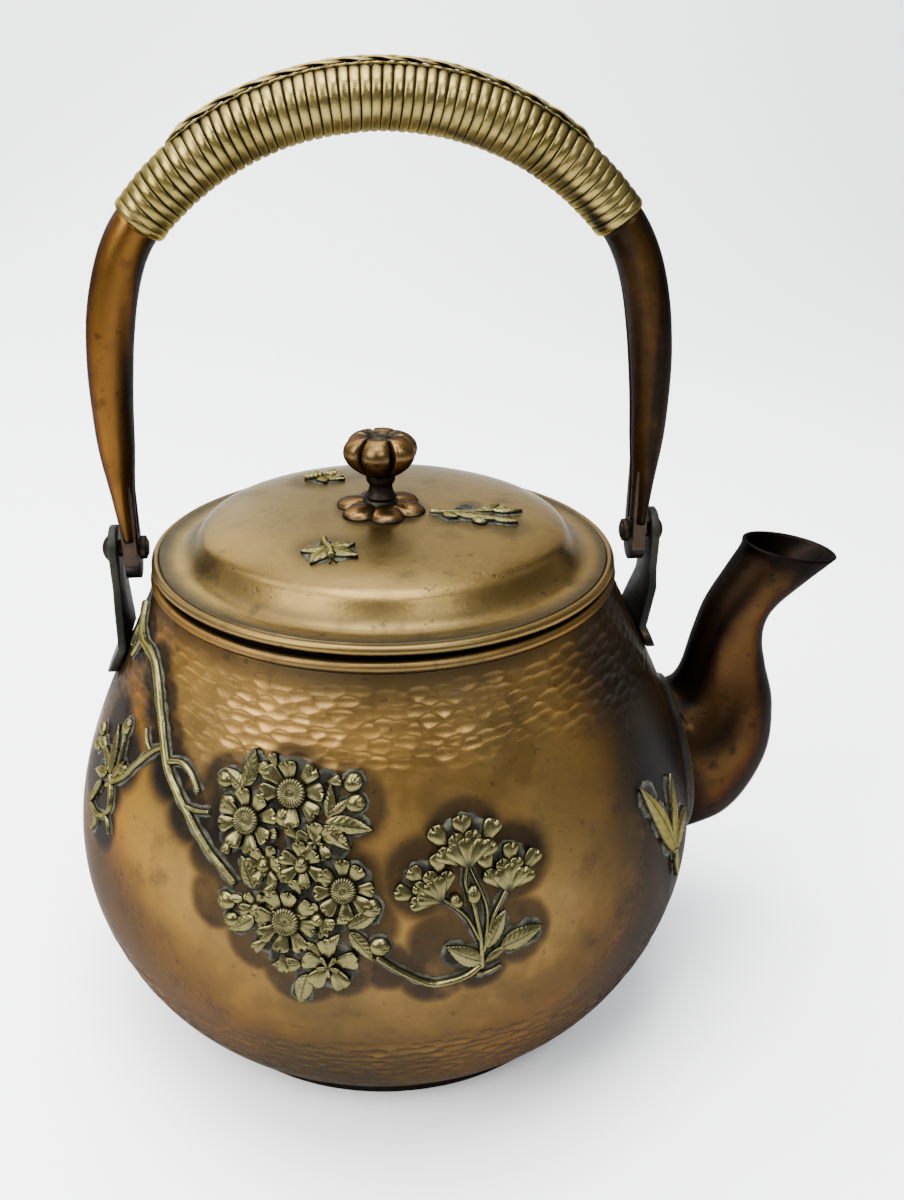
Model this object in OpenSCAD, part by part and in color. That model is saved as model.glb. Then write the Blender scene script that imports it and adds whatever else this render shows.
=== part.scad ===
/* [Body] */
// Radius of the belly at its widest
belly_r = 84; // [80:1:88]
// Height of the widest part of the belly
belly_z = 50; // [46:1:54]
// Radius where the shoulder turns up into the mouth
neck_r = 58.5; // [57.5:0.5:59]
// Height of the top edge of the sheet at the mouth
neck_z = 121; // [119:0.5:121]
// Thickness of the copper sheet
sheet = 1.5; // [1:0.1:1.6]
// Outer radius of the foot ring
foot_r = 62; // [60:0.5:64]
// Height of the foot ring
foot_h = 4; // [3:0.5:5]

/* [Lid] */
// Outer radius of the wired edge of the lid
lid_r = 58.8; // [58.6:0.1:59]
// Height of the lid's flat flange
lid_z = 126.6; // [126.6:0.1:127]
// Height of the crown of the lid over the foot
crown_z = 136.1; // [135.9:0.1:137.5]
// Radius at which the dome turns down into the cove
dome_r = 46.5; // [45:0.5:47]

// How far the loose lid is tipped up at its raised side, in degrees
seat_tilt = 0.7; // [0:0.1:0.8]
// How far the knob stands off the middle of the lid
knob_off = 1; // [0:0.5:2]

/* [Bail handle] */
// How far the bail and its lugs sit off the middle, towards the spout
bail_off = 1.2; // [0:0.1:1.5]
// Height of the pivot pins
pivot_z = 128.5; // [128:0.5:130]
// Distance from the middle to the middle of a tang
tang_x = 64.7; // [64.5:0.1:65]
// Radius of the pivot pins
pin_r = 2; // [1.8:0.1:2.2]
// Running clearance of the tang on its pin
pin_play = 0.05; // [0.02:0.01:0.1]
// Radius of the centre line of the grip
grip_arc = 71.1; // [70:0.1:72]
// Height of the centre of the grip's arc
grip_z = 161.6; // [161:0.1:163]
// Half of the angle that the wrapping covers
grip_half = 51; // [50:1:52]
// Turns of brass strip round the grip
turns = 56; // [48:1:60]

/* [Spout] */
// Height of the middle of the spout's root
root_z = 57.5; // [56:0.5:59]
// Half of the root's height
root_a = 25; // [24:0.5:25.5]
// Half of the root's width
root_b = 18; // [16:0.5:19]

/* [Hidden] */

copper = "#8b5a3a";
dark_copper = "#5e4033";
brass = "#a8954f";
bronze = "#6f6a58";
solder = "#8f8d86";

$fn = 96;

foot_t = 3;

// Mouth bead, lid edge and lid sleeve
bead_r = 1.4;
bead_z = neck_z + 1.7;
edge_r = 1.2;
sleeve_r = 55.9;
sleeve_low = 116;
sleeve_wall = 1;
lid_sheet = 1;

// Lug strap
lug_gap = 1.25;
lug_t = 2.2;
tang_t = 3.4;
tang_w = 9;
lug_in = tang_x + tang_t / 2 + lug_gap;
lug_mid = lug_in + lug_t / 2;
lug_top_r = 6;
lug_foot_r = 9.6;

// Relief
relief = 1.7;
relief_sink = 0.6;

// Curves
function bez(p, t) = pow(1 - t, 3) * p[0] + 3 * t * pow(1 - t, 2) * p[1]
    + 3 * t * t * (1 - t) * p[2] + pow(t, 3) * p[3];
function mix(a, b, k) = a + (b - a) * k;
function reversed(p) = [for (i = [len(p) - 1:-1:0]) p[i]];
function unit(v) = v / norm(v);

// Points moved by d along the outline's left-hand normal
function shifted(p, d) = [for (i = [0:len(p) - 1])
    let (v = unit(p[min(i + 1, len(p) - 1)] - p[max(i - 1, 0)])) p[i] + d * [-v[1], v[0]]];

// Outline of the body from the foot up to the mouth, as [radius, height]
steps = 16;
low_curve = [[foot_r - 0.5, foot_h], [mix(foot_r, belly_r, 0.5), mix(foot_h, belly_z, 0.14)],
    [belly_r, mix(foot_h, belly_z, 0.57)], [belly_r, belly_z]];
high_curve = [[belly_r, belly_z], [belly_r, mix(belly_z, neck_z, 0.35)],
    [mix(neck_r, belly_r, 0.41), mix(belly_z, neck_z, 0.66)], [neck_r, neck_z]];
belly_line = concat([for (i = [0:steps]) bez(low_curve, i / steps)],
    [for (i = [1:steps]) bez(high_curve, i / steps)]);
foot_flange = [foot_r - foot_t, foot_h];
neck_top = [neck_r - 0.3, neck_z + 0.9];
body_out = concat([foot_flange], belly_line, [neck_top]);
body_in = shifted(body_out, sheet);
body_table = [for (p = belly_line) [p[1], p[0]]];
function body_r(z) = lookup(z, body_table);
function body_lean(z) = atan((body_r(z + 1) - body_r(z - 1)) / 2);

// Outline of the lid from its crown out to the flange, as [radius, height]
flange_r = 53;
dome_drop = 4.6;
dome_curve = [[0, crown_z], [0.54 * dome_r, crown_z], [dome_r - 3.2, crown_z],
    [dome_r, crown_z - dome_drop]];
cove_curve = [[dome_r, crown_z - dome_drop], [dome_r + 1.4, crown_z - dome_drop - 2], [flange_r - 3.6, lid_z],
    [flange_r, lid_z]];
lid_out = concat([for (i = [0:12]) bez(dome_curve, i / 12)], [for (i = [1:8]) bez(cove_curve, i / 8)],
    [[lid_r - 2 * edge_r + 0.4, lid_z]]);
lid_in = [for (p = lid_out) p - [0, lid_sheet]];
lid_table = [for (p = lid_out) p];
function lid_h(r) = lookup(r, lid_table);
function lid_lean(r) = atan((lid_h(r + 1) - lid_h(max(r - 1, 0))) / 2);

// Swept solids
// Skin over a list of rings, capped, or joined end to end when loop is true
module skin(rings, loop = false) {
    n = len(rings[0]);
    m = len(rings);
    spans = loop ? m : m - 1;
    sides = [for (i = [0:spans - 1], j = [0:n - 1])
        [i * n + j, i * n + (j + 1) % n, ((i + 1) % m) * n + (j + 1) % n, ((i + 1) % m) * n + j]];
    caps = loop ? [] : [[for (j = [n - 1:-1:0]) j], [for (j = [0:n - 1]) (m - 1) * n + j]];
    polyhedron(points = [for (r = rings) each r], faces = concat(sides, caps), convexity = 8);
}

// Oval ring in the plane across a path in XZ; lean is the path's angle above +X
function oval(x, z, lean, a, b, n) = [for (j = [0:n - 1]) let (w = 360 * j / n)
    [x - a * cos(w) * sin(lean), b * sin(w), z + a * cos(w) * cos(lean)]];

// Placing on curved faces
// az runs from the front (-Y) round to the spout (+X)
module on_body(az, z, turn = 0) {
    rotate([0, 0, az]) translate([0, -body_r(z), z]) rotate([90 + body_lean(z), 0, 0])
        rotate([0, 0, turn]) translate([0, 0, -relief_sink]) children();
}

module on_lid(az, r, turn = 0) {
    rotate([0, 0, az]) translate([0, -r, lid_h(r)]) rotate([-lid_lean(r), 0, 0])
        rotate([0, 0, turn]) translate([0, 0, -relief_sink]) children();
}

// Relief shapes, each lying in its own XY plane
module blossom(r, h = relief) {
    linear_extrude(relief_sink + h)
        polygon([for (w = [0:9:351]) r * (0.83 + 0.17 * cos(5 * w)) * [cos(w), sin(w)]]);
    translate([0, 0, relief_sink]) linear_extrude(h + 0.5)
        polygon([for (w = [0:30:330]) 0.3 * r * [cos(w), sin(w)]]);
}

module bud(r) {
    linear_extrude(relief_sink + relief + 0.3) polygon([for (w = [0:20:340]) r * [cos(w), sin(w)]]);
}

module leaf(l, w, h = 1.1) {
    half = [[0, 0.15], [0.3, 0.5], [0.65, 0.42], [0.92, 0.12]];
    linear_extrude(relief_sink + h)
        polygon(concat([for (p = half) [p[0] * l, -p[1] * w]],
            [for (p = reversed(half)) [p[0] * l, p[1] * w]]));
}

// Stem of width w through points on the body: straight lengths, with a knot at each end and joint
mm_per_degree = 1.3;
stem_h = 1.1;

module twigs(points, w) {
    for (i = [0:len(points) - 2]) let (a = points[i], b = points[i + 1], m = (a + b) / 2,
        run = [(b[0] - a[0]) * mm_per_degree * body_r(m[1]) / belly_r * 1.1,
            (b[1] - a[1]) / cos(body_lean(m[1]))])
        on_body(m[0], m[1], atan2(run[1], run[0]))
            translate([-norm(run) / 2, -w / 2, 0]) cube([norm(run), w, relief_sink + stem_h]);
    for (p = points) on_body(p[0], p[1]) cylinder(r = 0.66 * w, h = relief_sink + stem_h + 0.25);
}

// Kettle body
spout_hole_r = 14;

module body_shell() {
    color(copper) difference() {
        rotate_extrude() polygon(concat(body_out, reversed(body_in)));
        translate([belly_r - 25, 0, root_z]) rotate([0, 90, 0]) cylinder(r = spout_hole_r, h = 40);
    }
}

module base_plate() {
    color(dark_copper) cylinder(r = foot_r - foot_t, h = sheet);
}

module foot_ring() {
    color(dark_copper) rotate_extrude()
        translate([foot_r - foot_t, 0]) square([foot_t, foot_h]);
}

module mouth_bead() {
    color(copper) rotate_extrude() translate([neck_r - 0.6, bead_z]) circle(bead_r);
}

// Spout
spout_sides = 28;
spout_wall = 1.3;
// Each section: x, height, angle of the path above +X, half thickness, half width
spout_sections = [[88.1, 61, 28, 23.7, 17.6], [93.2, 68.6, 55, 19.5, 16.2], [95.2, 77.8, 78, 15.1, 13.8],
    [94.6, 87, 93, 11.8, 11.2], [94.6, 95, 88, 10, 9.8], [96, 103, 73, 9.1, 9], [99.8, 110.5, 56, 9, 9],
    [104.5, 116.5, 60, 10.2, 9.6], [109.2, 121.8, 80, 13.2, 10.4]];

function spout_root(grow, sink) = [for (j = [0:spout_sides - 1]) let (w = 360 * j / spout_sides,
    y = (root_b + grow) * sin(w), z = root_z + (root_a + grow) * cos(w))
    [sqrt(pow(body_r(z), 2) - y * y) - sink, y, z]];

function spout_rings(grow) = concat([spout_root(grow, sheet / 2)],
    [for (s = spout_sections) oval(s[0], s[1], s[2], s[3] + grow, s[4] + grow, spout_sides)]);

module spout() {
    color(copper) skin(concat(spout_rings(0), reversed(spout_rings(-spout_wall))), loop = true);
}

// Fillet of solder round the root
module spout_seam() {
    color(solder) skin([spout_root(2.2, 0.2), spout_root(2.2, -0.3), spout_root(0.3, -2.2),
        spout_root(0.05, 0.2)], loop = true);
}

// Lugs, pins and roves
// Draws a right-hand piece on its own side; side is 1 towards the spout and -1 away from it
module at_side(side) {
    translate([bail_off, 0, 0]) mirror([side < 0 ? 1 : 0, 0, 0]) children();
}

// Side outline of the bent strap: down past the pin, in to the shoulder, then out along it
bend_z = 104.5;
foot_low = 94.5;
function strap_line(side) = let (shift = side * bail_off)
    [[lug_mid, pivot_z + lug_top_r + 1], [lug_mid, pivot_z - 14],
    [body_r(bend_z) + lug_t / 2 - shift, bend_z], [body_r(foot_low) + lug_t / 2 - shift, foot_low]];

// Front outline: a round eye, a waist, and a broad round foot
module strap_front() {
    waist = lug_top_r - 0.3;
    polygon(concat(
        [for (w = [0:12:180]) [lug_top_r * cos(w), pivot_z + lug_top_r * sin(w)]],
        [[-waist, pivot_z - 9]],
        [for (w = [160:11:380]) [lug_foot_r * cos(w), bend_z - 0.4 + lug_foot_r * sin(w)]],
        [[waist, pivot_z - 9]]));
}

module lug(side) {
    line = strap_line(side);
    color(bronze) difference() {
        intersection() {
            rotate([90, 0, 0]) translate([0, 0, -lug_foot_r - 1]) linear_extrude(2 * lug_foot_r + 2)
                polygon(concat(shifted(line, lug_t / 2), reversed(shifted(line, -lug_t / 2))));
            translate([neck_r - 5, 0, 0]) rotate([90, 0, 90]) linear_extrude(30) strap_front();
        }
        translate([neck_r, 0, pivot_z]) rotate([0, 90, 0]) cylinder(r = pin_r, h = 30);
    }
}

rove_t = 1.6;
rove_in = tang_x - tang_t / 2 - 0.3 - rove_t;
pin_end = 0.4;
head_x = lug_in + lug_t;
head_r = 3.8;
head_h = 2.2;
dome_ball = (head_r * head_r + head_h * head_h) / (2 * head_h);

// Rivet pin with a domed head outside the lug, peened over the rove inside
module pin() {
    color(dark_copper) union() {
        translate([rove_in - pin_end, 0, pivot_z]) rotate([0, 90, 0])
            cylinder(r = pin_r, h = head_x - rove_in + 2 * pin_end);
        translate([head_x, 0, pivot_z]) rotate([90, 0, 90]) rotate_extrude() intersection() {
            translate([0, head_h - dome_ball]) circle(dome_ball);
            square([head_r, head_h]);
        }
    }
}

module rove() {
    color(dark_copper) translate([rove_in, 0, pivot_z]) rotate([0, 90, 0]) difference() {
        cylinder(r = 3, h = rove_t);
        translate([0, 0, -1]) cylinder(r = pin_r, h = rove_t + 2);
    }
}

module lug_left() { at_side(-1) lug(-1); }
module lug_right() { at_side(1) lug(1); }
module pin_left() { at_side(-1) pin(); }
module pin_right() { at_side(1) pin(); }
module rove_left() { at_side(-1) rove(); }
module rove_right() { at_side(1) rove(); }

// Bail handle
tang_low = 8;
tang_top = 146;

module tang() {
    color(dark_copper) translate([tang_x - tang_t / 2, 0, 0]) difference() {
        union() {
            translate([0, -tang_w / 2, pivot_z - 3]) cube([tang_t, tang_w, tang_top - pivot_z + 3]);
            translate([0, 0, pivot_z - tang_low + tang_w / 2]) rotate([0, 90, 0])
                cylinder(d = tang_w, h = tang_t);
        }
        translate([-1, 0, pivot_z]) rotate([0, 90, 0]) cylinder(r = pin_r + pin_play, h = tang_t + 2);
    }
}

module tang_left() { at_side(-1) tang(); }
module tang_right() { at_side(1) tang(); }

// Right half of the centre line: an arc under the wrapping, then a bowed arm down to the pin
arm_low = 131.8;
arc_end = [grip_arc * sin(grip_half), grip_z + grip_arc * cos(grip_half)];
arm_curve = [arc_end, arc_end + 13 * [cos(grip_half), -sin(grip_half)], [tang_x + 2.7, 173],
    [tang_x, arm_low]];
arm_thick = [[0, 5.4], [0.45, 5.6], [0.6, 5.35], [0.7, 4.9], [0.8, 4.4], [0.9, 3], [1, 2.1]];
arm_wide = [[0, 6.6], [0.5, 6.6], [0.9, 5.8], [1, 5.6]];
strip_t = 1.3;
arm_steps = 14;
arc_steps = 10;
tube_sides = 20;
tube_wall = 0.9;

function grip_thick(w) = 5.2 + 2 * cos(w);
function arm_angle(t) = let (v = bez(arm_curve, min(t + 0.01, 1)) - bez(arm_curve, max(t - 0.01, 0)))
    atan2(v[1], v[0]);

// Stations from the left tip to the right tip: x, z, angle, half thickness, half width
function arm_station(t) = let (p = bez(arm_curve, t))
    [p[0], p[1], arm_angle(t), lookup(t, arm_thick), lookup(t, arm_wide)];
function arc_station(w, off) = [grip_arc * sin(w), grip_z + grip_arc * cos(w), -w,
    grip_thick(w) + off, mix(7.9, 6.7, abs(w) / grip_half) + off];
function mirrored(s) = [-s[0], s[1], -s[2], s[3], s[4]];
right_arm = [for (i = [0:arm_steps]) arm_station(i / arm_steps)];
left_arm = [for (s = reversed(right_arm)) mirrored(s)];
tube_arc = [for (i = [-arc_steps + 1:arc_steps - 1]) arc_station(i * grip_half / arc_steps, -strip_t)];
tube_line = concat(left_arm, tube_arc, right_arm);

function tube_rings(grow) =
    [for (s = tube_line) oval(s[0], s[1], s[2], s[3] + grow, s[4] + grow, tube_sides)];

module handle_tube() {
    color(copper) translate([bail_off, 0, 0])
        skin(concat(tube_rings(0), reversed(tube_rings(-tube_wall))), loop = true);
}

// Wrapping: two rings a turn, one on the crest of the strip and one in the groove
function wrap_rings(crest, groove) = [for (i = [0:2 * turns])
    let (s = arc_station((i / turns - 1) * (grip_half - 0.3), i % 2 == 1 ? crest : groove))
    oval(s[0], s[1], s[2], s[3], s[4], tube_sides)];

module grip_wrap() {
    lining = [for (i = [0:arc_steps * 2])
        let (s = arc_station((1 - i / arc_steps) * (grip_half - 0.3), 0.05 - strip_t))
        oval(s[0], s[1], s[2], s[3], s[4], tube_sides)];
    color(brass) translate([bail_off, 0, 0]) skin(concat(wrap_rings(0, -0.5), lining), loop = true);
}

// Flat braid laid along the top of the wrapping
braid_half = 38;
braid_w = 3.2;
braid_t = 1.4;

module grip_braid() {
    rings = [for (i = [-12:12]) let (w = i * braid_half / 12, r = grip_arc + grip_thick(w))
        [for (q = [[-0.1, -braid_w], [braid_t, -braid_w * 0.6], [braid_t, braid_w * 0.6], [-0.1, braid_w]])
            [(r + q[0]) * sin(w), q[1], grip_z + (r + q[0]) * cos(w)]]];
    color(brass) translate([bail_off, 0, 0]) skin(rings);
}

// Lid and knob
stem_bore = 2;
seat_az = -50;

// Seats the loose lid: it rests at one side of the mouth and is tipped up at the other
module seated() {
    low = lid_z - 2 * edge_r;
    rotate([0, 0, seat_az]) translate([0, lid_r, low]) rotate([-seat_tilt, 0, 0])
        translate([0, -lid_r, -low]) rotate([0, 0, -seat_az]) children();
}

module knobbed() {
    seated() translate([-knob_off, 0, 0]) children();
}

module lid_shell() {
    color(copper) seated() difference() {
        rotate_extrude() polygon(concat(lid_out, reversed(lid_in)));
        translate([-knob_off, 0, crown_z - 5]) cylinder(r = stem_bore, h = 10);
    }
}

module lid_bead() {
    color(copper) seated() rotate_extrude() translate([lid_r - edge_r, lid_z - edge_r]) circle(edge_r);
}

module lid_sleeve() {
    color(copper) seated() rotate_extrude()
        translate([sleeve_r - sleeve_wall, sleeve_low]) square([sleeve_wall, lid_z - lid_sheet - sleeve_low]);
}

rosette_z = crown_z - 0.05;
rosette_t = 2.6;

module knob_rosette() {
    color(copper) knobbed() difference() {
        union() {
            for (k = [0:5]) rotate(60 * k + 30) translate([7.3, 0, rosette_z])
                cylinder(r = 4.3, h = rosette_t);
            translate([0, 0, rosette_z]) cylinder(r = 6.5, h = rosette_t + 0.6);
        }
        translate([0, 0, rosette_z - 1]) cylinder(r = stem_bore, h = 10);
    }
}

stem_low = rosette_z + rosette_t + 0.6;
bud_z = crown_z + 13.4;
burr_t = 1.2;
stem_outline = [[0, crown_z - lid_sheet - burr_t - 0.6], [stem_bore, crown_z - lid_sheet - burr_t - 0.6],
    [stem_bore, stem_low], [5, stem_low], [4, stem_low + 1.2], [3, stem_low + 2.6], [3.1, stem_low + 4],
    [4.6, bud_z - 4.4], [0, bud_z - 4.4]];

module knob_stem() {
    color(dark_copper) knobbed() rotate_extrude() polygon(stem_outline);
}

module knob_bud() {
    color(copper) knobbed() difference() {
        union() {
            for (k = [0:5]) rotate(60 * k + 18) translate([4.5, 0, bud_z]) sphere(r = 5.1);
            translate([0, 0, bud_z - 4]) cylinder(r = 6, h = 8);
            translate([0, 0, bud_z + 3]) cylinder(r = 2.6, h = 3.6);
        }
        translate([0, 0, bud_z - 12.4]) cylinder(r = 14, h = 8);
    }
}

module knob_burr() {
    color(dark_copper) knobbed() translate([0, 0, crown_z - lid_sheet - burr_t]) difference() {
        cylinder(r = 5, h = burr_t);
        translate([0, 0, -1]) cylinder(r = stem_bore, h = burr_t + 2);
    }
}

// Relief
// Branch points are [angle round the body, height]
branch_line = [[-82, 112], [-72, 112], [-62, 110], [-56, 105], [-51, 98.5], [-47, 93.5], [-40, 87],
    [-34, 81]];
branch_twig = [[-48, 95], [-55, 92], [-60, 85]];
spray_twig = [[-6, 64], [-2, 60], [3, 57.5], [8, 58], [11, 60.5]];

module branch() {
    color(brass) union() {
        twigs(branch_line, 2.6);
        twigs(branch_twig, 2);
    }
}

// Each flower: angle, height, radius, turn
cluster_flowers = [[-28, 90, 7, 10], [-20.5, 97, 7.5, 40], [-11, 79, 7, 25], [-20, 71, 7.5, 5]];
cluster_buds = [[-18, 85, 4.5], [-35.5, 89, 4], [-27, 80, 4], [-9.5, 68, 4.2], [-12, 60.5, 4], [-14.5, 64, 4],
    [-31, 72, 3.4], [-13, 97, 3.6], [-12.5, 89, 3.6]];
// Each leaf: angle, height, turn, length, width
cluster_leaves = [[-32, 95, 95, 13, 5], [-34, 93, 140, 12, 5], [-14, 97, 60, 13, 5], [-12, 93, 10, 12, 5],
    [-12, 90, -30, 12, 5], [-8, 73, 10, 11, 5], [-8, 66, -10, 10, 4.5], [-18, 62, -95, 13, 5],
    [-22, 64, -120, 12, 5], [-26, 74, 170, 12, 5], [-26, 68, -160, 11, 5]];

module blossom_cluster() {
    color(brass) union() {
        for (f = cluster_flowers) on_body(f[0], f[1], f[3]) blossom(f[2]);
        for (b = cluster_buds) on_body(b[0], b[1]) bud(b[2]);
        for (l = cluster_leaves) on_body(l[0], l[1], l[2]) leaf(l[3], l[4]);
    }
}

spray_flowers = [[9.5, 87.5, 7.5, 0], [16, 80.5, 7, 30], [2.5, 80.5, 7, 50]];
spray_leaves = [[10, 66, 150, 13, 5.5], [11, 66, 5, 17, 6], [11, 67, 60, 15, 5], [9.5, 70, 100, 12, 5]];

module blossom_spray() {
    color(brass) union() {
        for (f = spray_flowers) on_body(f[0], f[1], f[3]) blossom(f[2]);
        for (l = spray_leaves) on_body(l[0], l[1], l[2]) leaf(l[3], l[4]);
        twigs(spray_twig, 2);
        twigs([[10.5, 60], [10.5, 70], [9.5, 77]], 1.8);
    }
}

sprig_left_leaves = [[-65, 81, 95, 14, 5], [-66, 84, 130, 11, 4.5], [-68, 80, 170, 11, 4.5],
    [-62, 78, 60, 11, 4.5], [-64, 76, -60, 12, 4.5], [-66, 74, -110, 12, 4.5]];

module sprig_left() {
    color(brass) union() {
        for (l = sprig_left_leaves) on_body(l[0], l[1], l[2]) leaf(l[3], l[4]);
        twigs([[-66, 88], [-65, 70]], 1.8);
    }
}

sprig_spout_leaves = [[56, 62, 92, 17, 5], [56, 62, 130, 15, 5], [56, 62, 55, 14, 5], [56, 62, -85, 9, 3.5]];

module sprig_spout() {
    color(brass) for (l = sprig_spout_leaves) on_body(l[0], l[1], l[2]) leaf(l[3], l[4]);
}

// Small winged insect: two pairs of wings on a thin body
module insect(s) {
    for (w = [35, 75, -35, -75]) rotate(w) leaf(8 * s, 4 * s);
    translate([-4 * s, -0.9 * s, 0]) cube([10 * s, 1.8 * s, relief_sink + 1.5]);
}

module lid_insect_front() {
    color(brass) seated() on_lid(-31, 29, -50) insect(1.1);
}

module lid_insect_back() {
    color(brass) seated() on_lid(-147, 30, 160) insect(0.95);
}

module lid_sprig() {
    color(brass) seated() on_lid(70, 15, -78) union() {
        for (l = [[2, 12, 13], [9, -22, 13], [10, 14, 14], [14, -6, 12]]) translate([l[0], 0, 0])
            rotate(l[1]) leaf(l[2], 4.5);
        translate([0, -0.8, 0]) cube([16, 1.6, relief_sink + 1]);
    }
}

body_shell();
base_plate();
foot_ring();
mouth_bead();
spout();
spout_seam();
lug_left();
lug_right();
pin_left();
pin_right();
rove_left();
rove_right();
tang_left();
tang_right();
handle_tube();
grip_wrap();
grip_braid();
lid_shell();
lid_bead();
lid_sleeve();
knob_rosette();
knob_stem();
knob_bud();
knob_burr();
branch();
blossom_cluster();
blossom_spray();
sprig_left();
sprig_spout();
lid_insect_front();
lid_insect_back();
lid_sprig();
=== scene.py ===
# Hammered copper kettle with a wrapped bail handle and brass blossom relief
import math

import bmesh
import bpy
import numpy as np
from mathutils import Matrix, Vector


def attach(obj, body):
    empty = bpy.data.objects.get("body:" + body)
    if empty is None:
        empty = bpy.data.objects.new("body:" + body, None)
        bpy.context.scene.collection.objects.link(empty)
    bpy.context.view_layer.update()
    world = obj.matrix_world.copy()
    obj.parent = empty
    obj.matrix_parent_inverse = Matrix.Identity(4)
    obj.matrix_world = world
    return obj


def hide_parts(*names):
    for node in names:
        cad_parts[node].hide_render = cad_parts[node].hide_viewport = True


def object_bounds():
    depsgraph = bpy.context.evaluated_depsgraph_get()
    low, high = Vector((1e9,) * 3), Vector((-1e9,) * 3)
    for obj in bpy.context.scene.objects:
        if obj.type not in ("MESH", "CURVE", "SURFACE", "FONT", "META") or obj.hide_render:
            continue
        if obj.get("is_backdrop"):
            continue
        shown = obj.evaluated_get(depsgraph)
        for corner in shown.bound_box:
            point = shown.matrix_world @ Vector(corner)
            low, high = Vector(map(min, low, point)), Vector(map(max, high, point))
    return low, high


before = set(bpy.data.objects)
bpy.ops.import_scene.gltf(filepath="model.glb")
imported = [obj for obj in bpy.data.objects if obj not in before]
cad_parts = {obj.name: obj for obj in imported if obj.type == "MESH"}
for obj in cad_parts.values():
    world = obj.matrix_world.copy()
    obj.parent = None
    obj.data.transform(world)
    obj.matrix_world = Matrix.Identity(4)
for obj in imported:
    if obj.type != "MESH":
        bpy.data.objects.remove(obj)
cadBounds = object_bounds()
mm = 0.001

# driving sizes, millimetres
kettle = {
    "bellyRadius": 84.0,
    "bellyHeight": 50.0,
    "neckRadius": 58.5,
    "neckHeight": 121.0,
    "footRadius": 62.0,
    "footHeight": 4.0,
    "footWidth": 3.0,
    "sheet": 1.5,
}
lid = {
    "radius": 58.8,
    "flangeHeight": 126.6,
    "crownHeight": 136.1,
    "domeRadius": 46.5,
    "domeDrop": 4.6,
    "flangeRadius": 53.0,
    "edge": 1.2,
    "sheet": 1.0,
    "tilt": 0.7,       # degrees the loose lid is tipped
    "tiltSide": -50.0,  # side that stands open
    "knobShift": -1.0,
}
bail = {
    "shift": 1.2,
    "tangX": 64.7,
    "gripArc": 71.1,
    "gripHeight": 161.6,
    "gripHalf": 51.0,   # degrees covered by the wrapping, each side
    "armFoot": 131.8,
    "turns": 56,
    "strip": 1.3,
}


def smoothStep(low, high, x):
    k = np.clip((np.asarray(x, float) - low) / (high - low), 0, 1)
    return k * k * (3 - 2 * k)


def bezier(points, t):
    t = np.atleast_1d(t)[:, None]
    a, b, c, d = [np.array(p, float) for p in points]
    return (1 - t) ** 3 * a + 3 * t * (1 - t) ** 2 * b + 3 * t * t * (1 - t) * c + t ** 3 * d


def between(a, b, k):
    return a + (b - a) * k


def evenTurn(count):
    # count angles spaced evenly round a full turn
    return np.linspace(0, 2 * math.pi, count, endpoint=False)


def angleFrom(az, degrees):
    # angle from a bearing given in degrees, the short way round
    return (az - math.radians(degrees) + math.pi) % (2 * math.pi) - math.pi


def ripple(x, y, seed, waves=6, low=0.6, high=2.2):
    # smooth wandering value, about -1 to 1; y is an angle and repeats every turn
    rng = np.random.default_rng(seed)
    total = 0
    for _ in range(waves):
        across = rng.uniform(low, high)
        around = rng.integers(1, max(2, int(high * 4)))
        total = total + np.sin(across * x + around * y + rng.uniform(0, 6.283))
    return total / waves * 1.6


# surfaces that other pieces sit on
def makeBodyLine():
    k = kettle
    low = [
        (k["footRadius"] - 0.5, k["footHeight"]),
        (between(k["footRadius"], k["bellyRadius"], 0.5), between(k["footHeight"], k["bellyHeight"], 0.14)),
        (k["bellyRadius"], between(k["footHeight"], k["bellyHeight"], 0.57)),
        (k["bellyRadius"], k["bellyHeight"]),
    ]
    high = [
        (k["bellyRadius"], k["bellyHeight"]),
        (k["bellyRadius"], between(k["bellyHeight"], k["neckHeight"], 0.35)),
        (between(k["neckRadius"], k["bellyRadius"], 0.41), between(k["bellyHeight"], k["neckHeight"], 0.66)),
        (k["neckRadius"], k["neckHeight"]),
    ]
    t = np.linspace(0, 1, 121)
    return np.vstack([bezier(low, t), bezier(high, t)[1:]])


def makeLidLine():
    k = lid
    crown = k["crownHeight"]
    shoulder = (k["domeRadius"], crown - k["domeDrop"])
    dome = [(0, crown), (0.54 * k["domeRadius"], crown), (k["domeRadius"] - 3.2, crown), shoulder]
    cove = [
        shoulder,
        (k["domeRadius"] + 1.4, shoulder[1] - 2),
        (k["flangeRadius"] - 3.6, k["flangeHeight"]),
        (k["flangeRadius"], k["flangeHeight"]),
    ]
    t = np.linspace(0, 1, 81)
    rim = np.array([[k["radius"] - 2 * k["edge"] + 0.4, k["flangeHeight"]]])
    return np.vstack([bezier(dome, t), bezier(cove, t)[1:], rim])


bodyLine = makeBodyLine()
lidLine = makeLidLine()


def bodyRadius(z):
    return np.interp(z, bodyLine[:, 1], bodyLine[:, 0])


def bodyLean(z):
    return np.arctan((bodyRadius(np.asarray(z) + 1) - bodyRadius(np.asarray(z) - 1)) / 2)


def lidHeight(r):
    return np.interp(r, lidLine[:, 0], lidLine[:, 1])


def onBody(az, z, h):
    # az in radians from the front toward the spout, h stands off the surface
    az, z, h = np.broadcast_arrays(az, z, h)
    lean = bodyLean(z)
    r = bodyRadius(z) + h * np.cos(lean)
    return np.stack([r * np.sin(az), -r * np.cos(az), z - h * np.sin(lean)], -1)


def bodyPlace(az, z):
    # local u runs toward the spout, v up, h off the copper
    def place(u, v, h):
        high = z + v * math.cos(float(bodyLean(z)))
        return onBody(math.radians(az) + u / bodyRadius(high), high, h)
    return place


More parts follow.
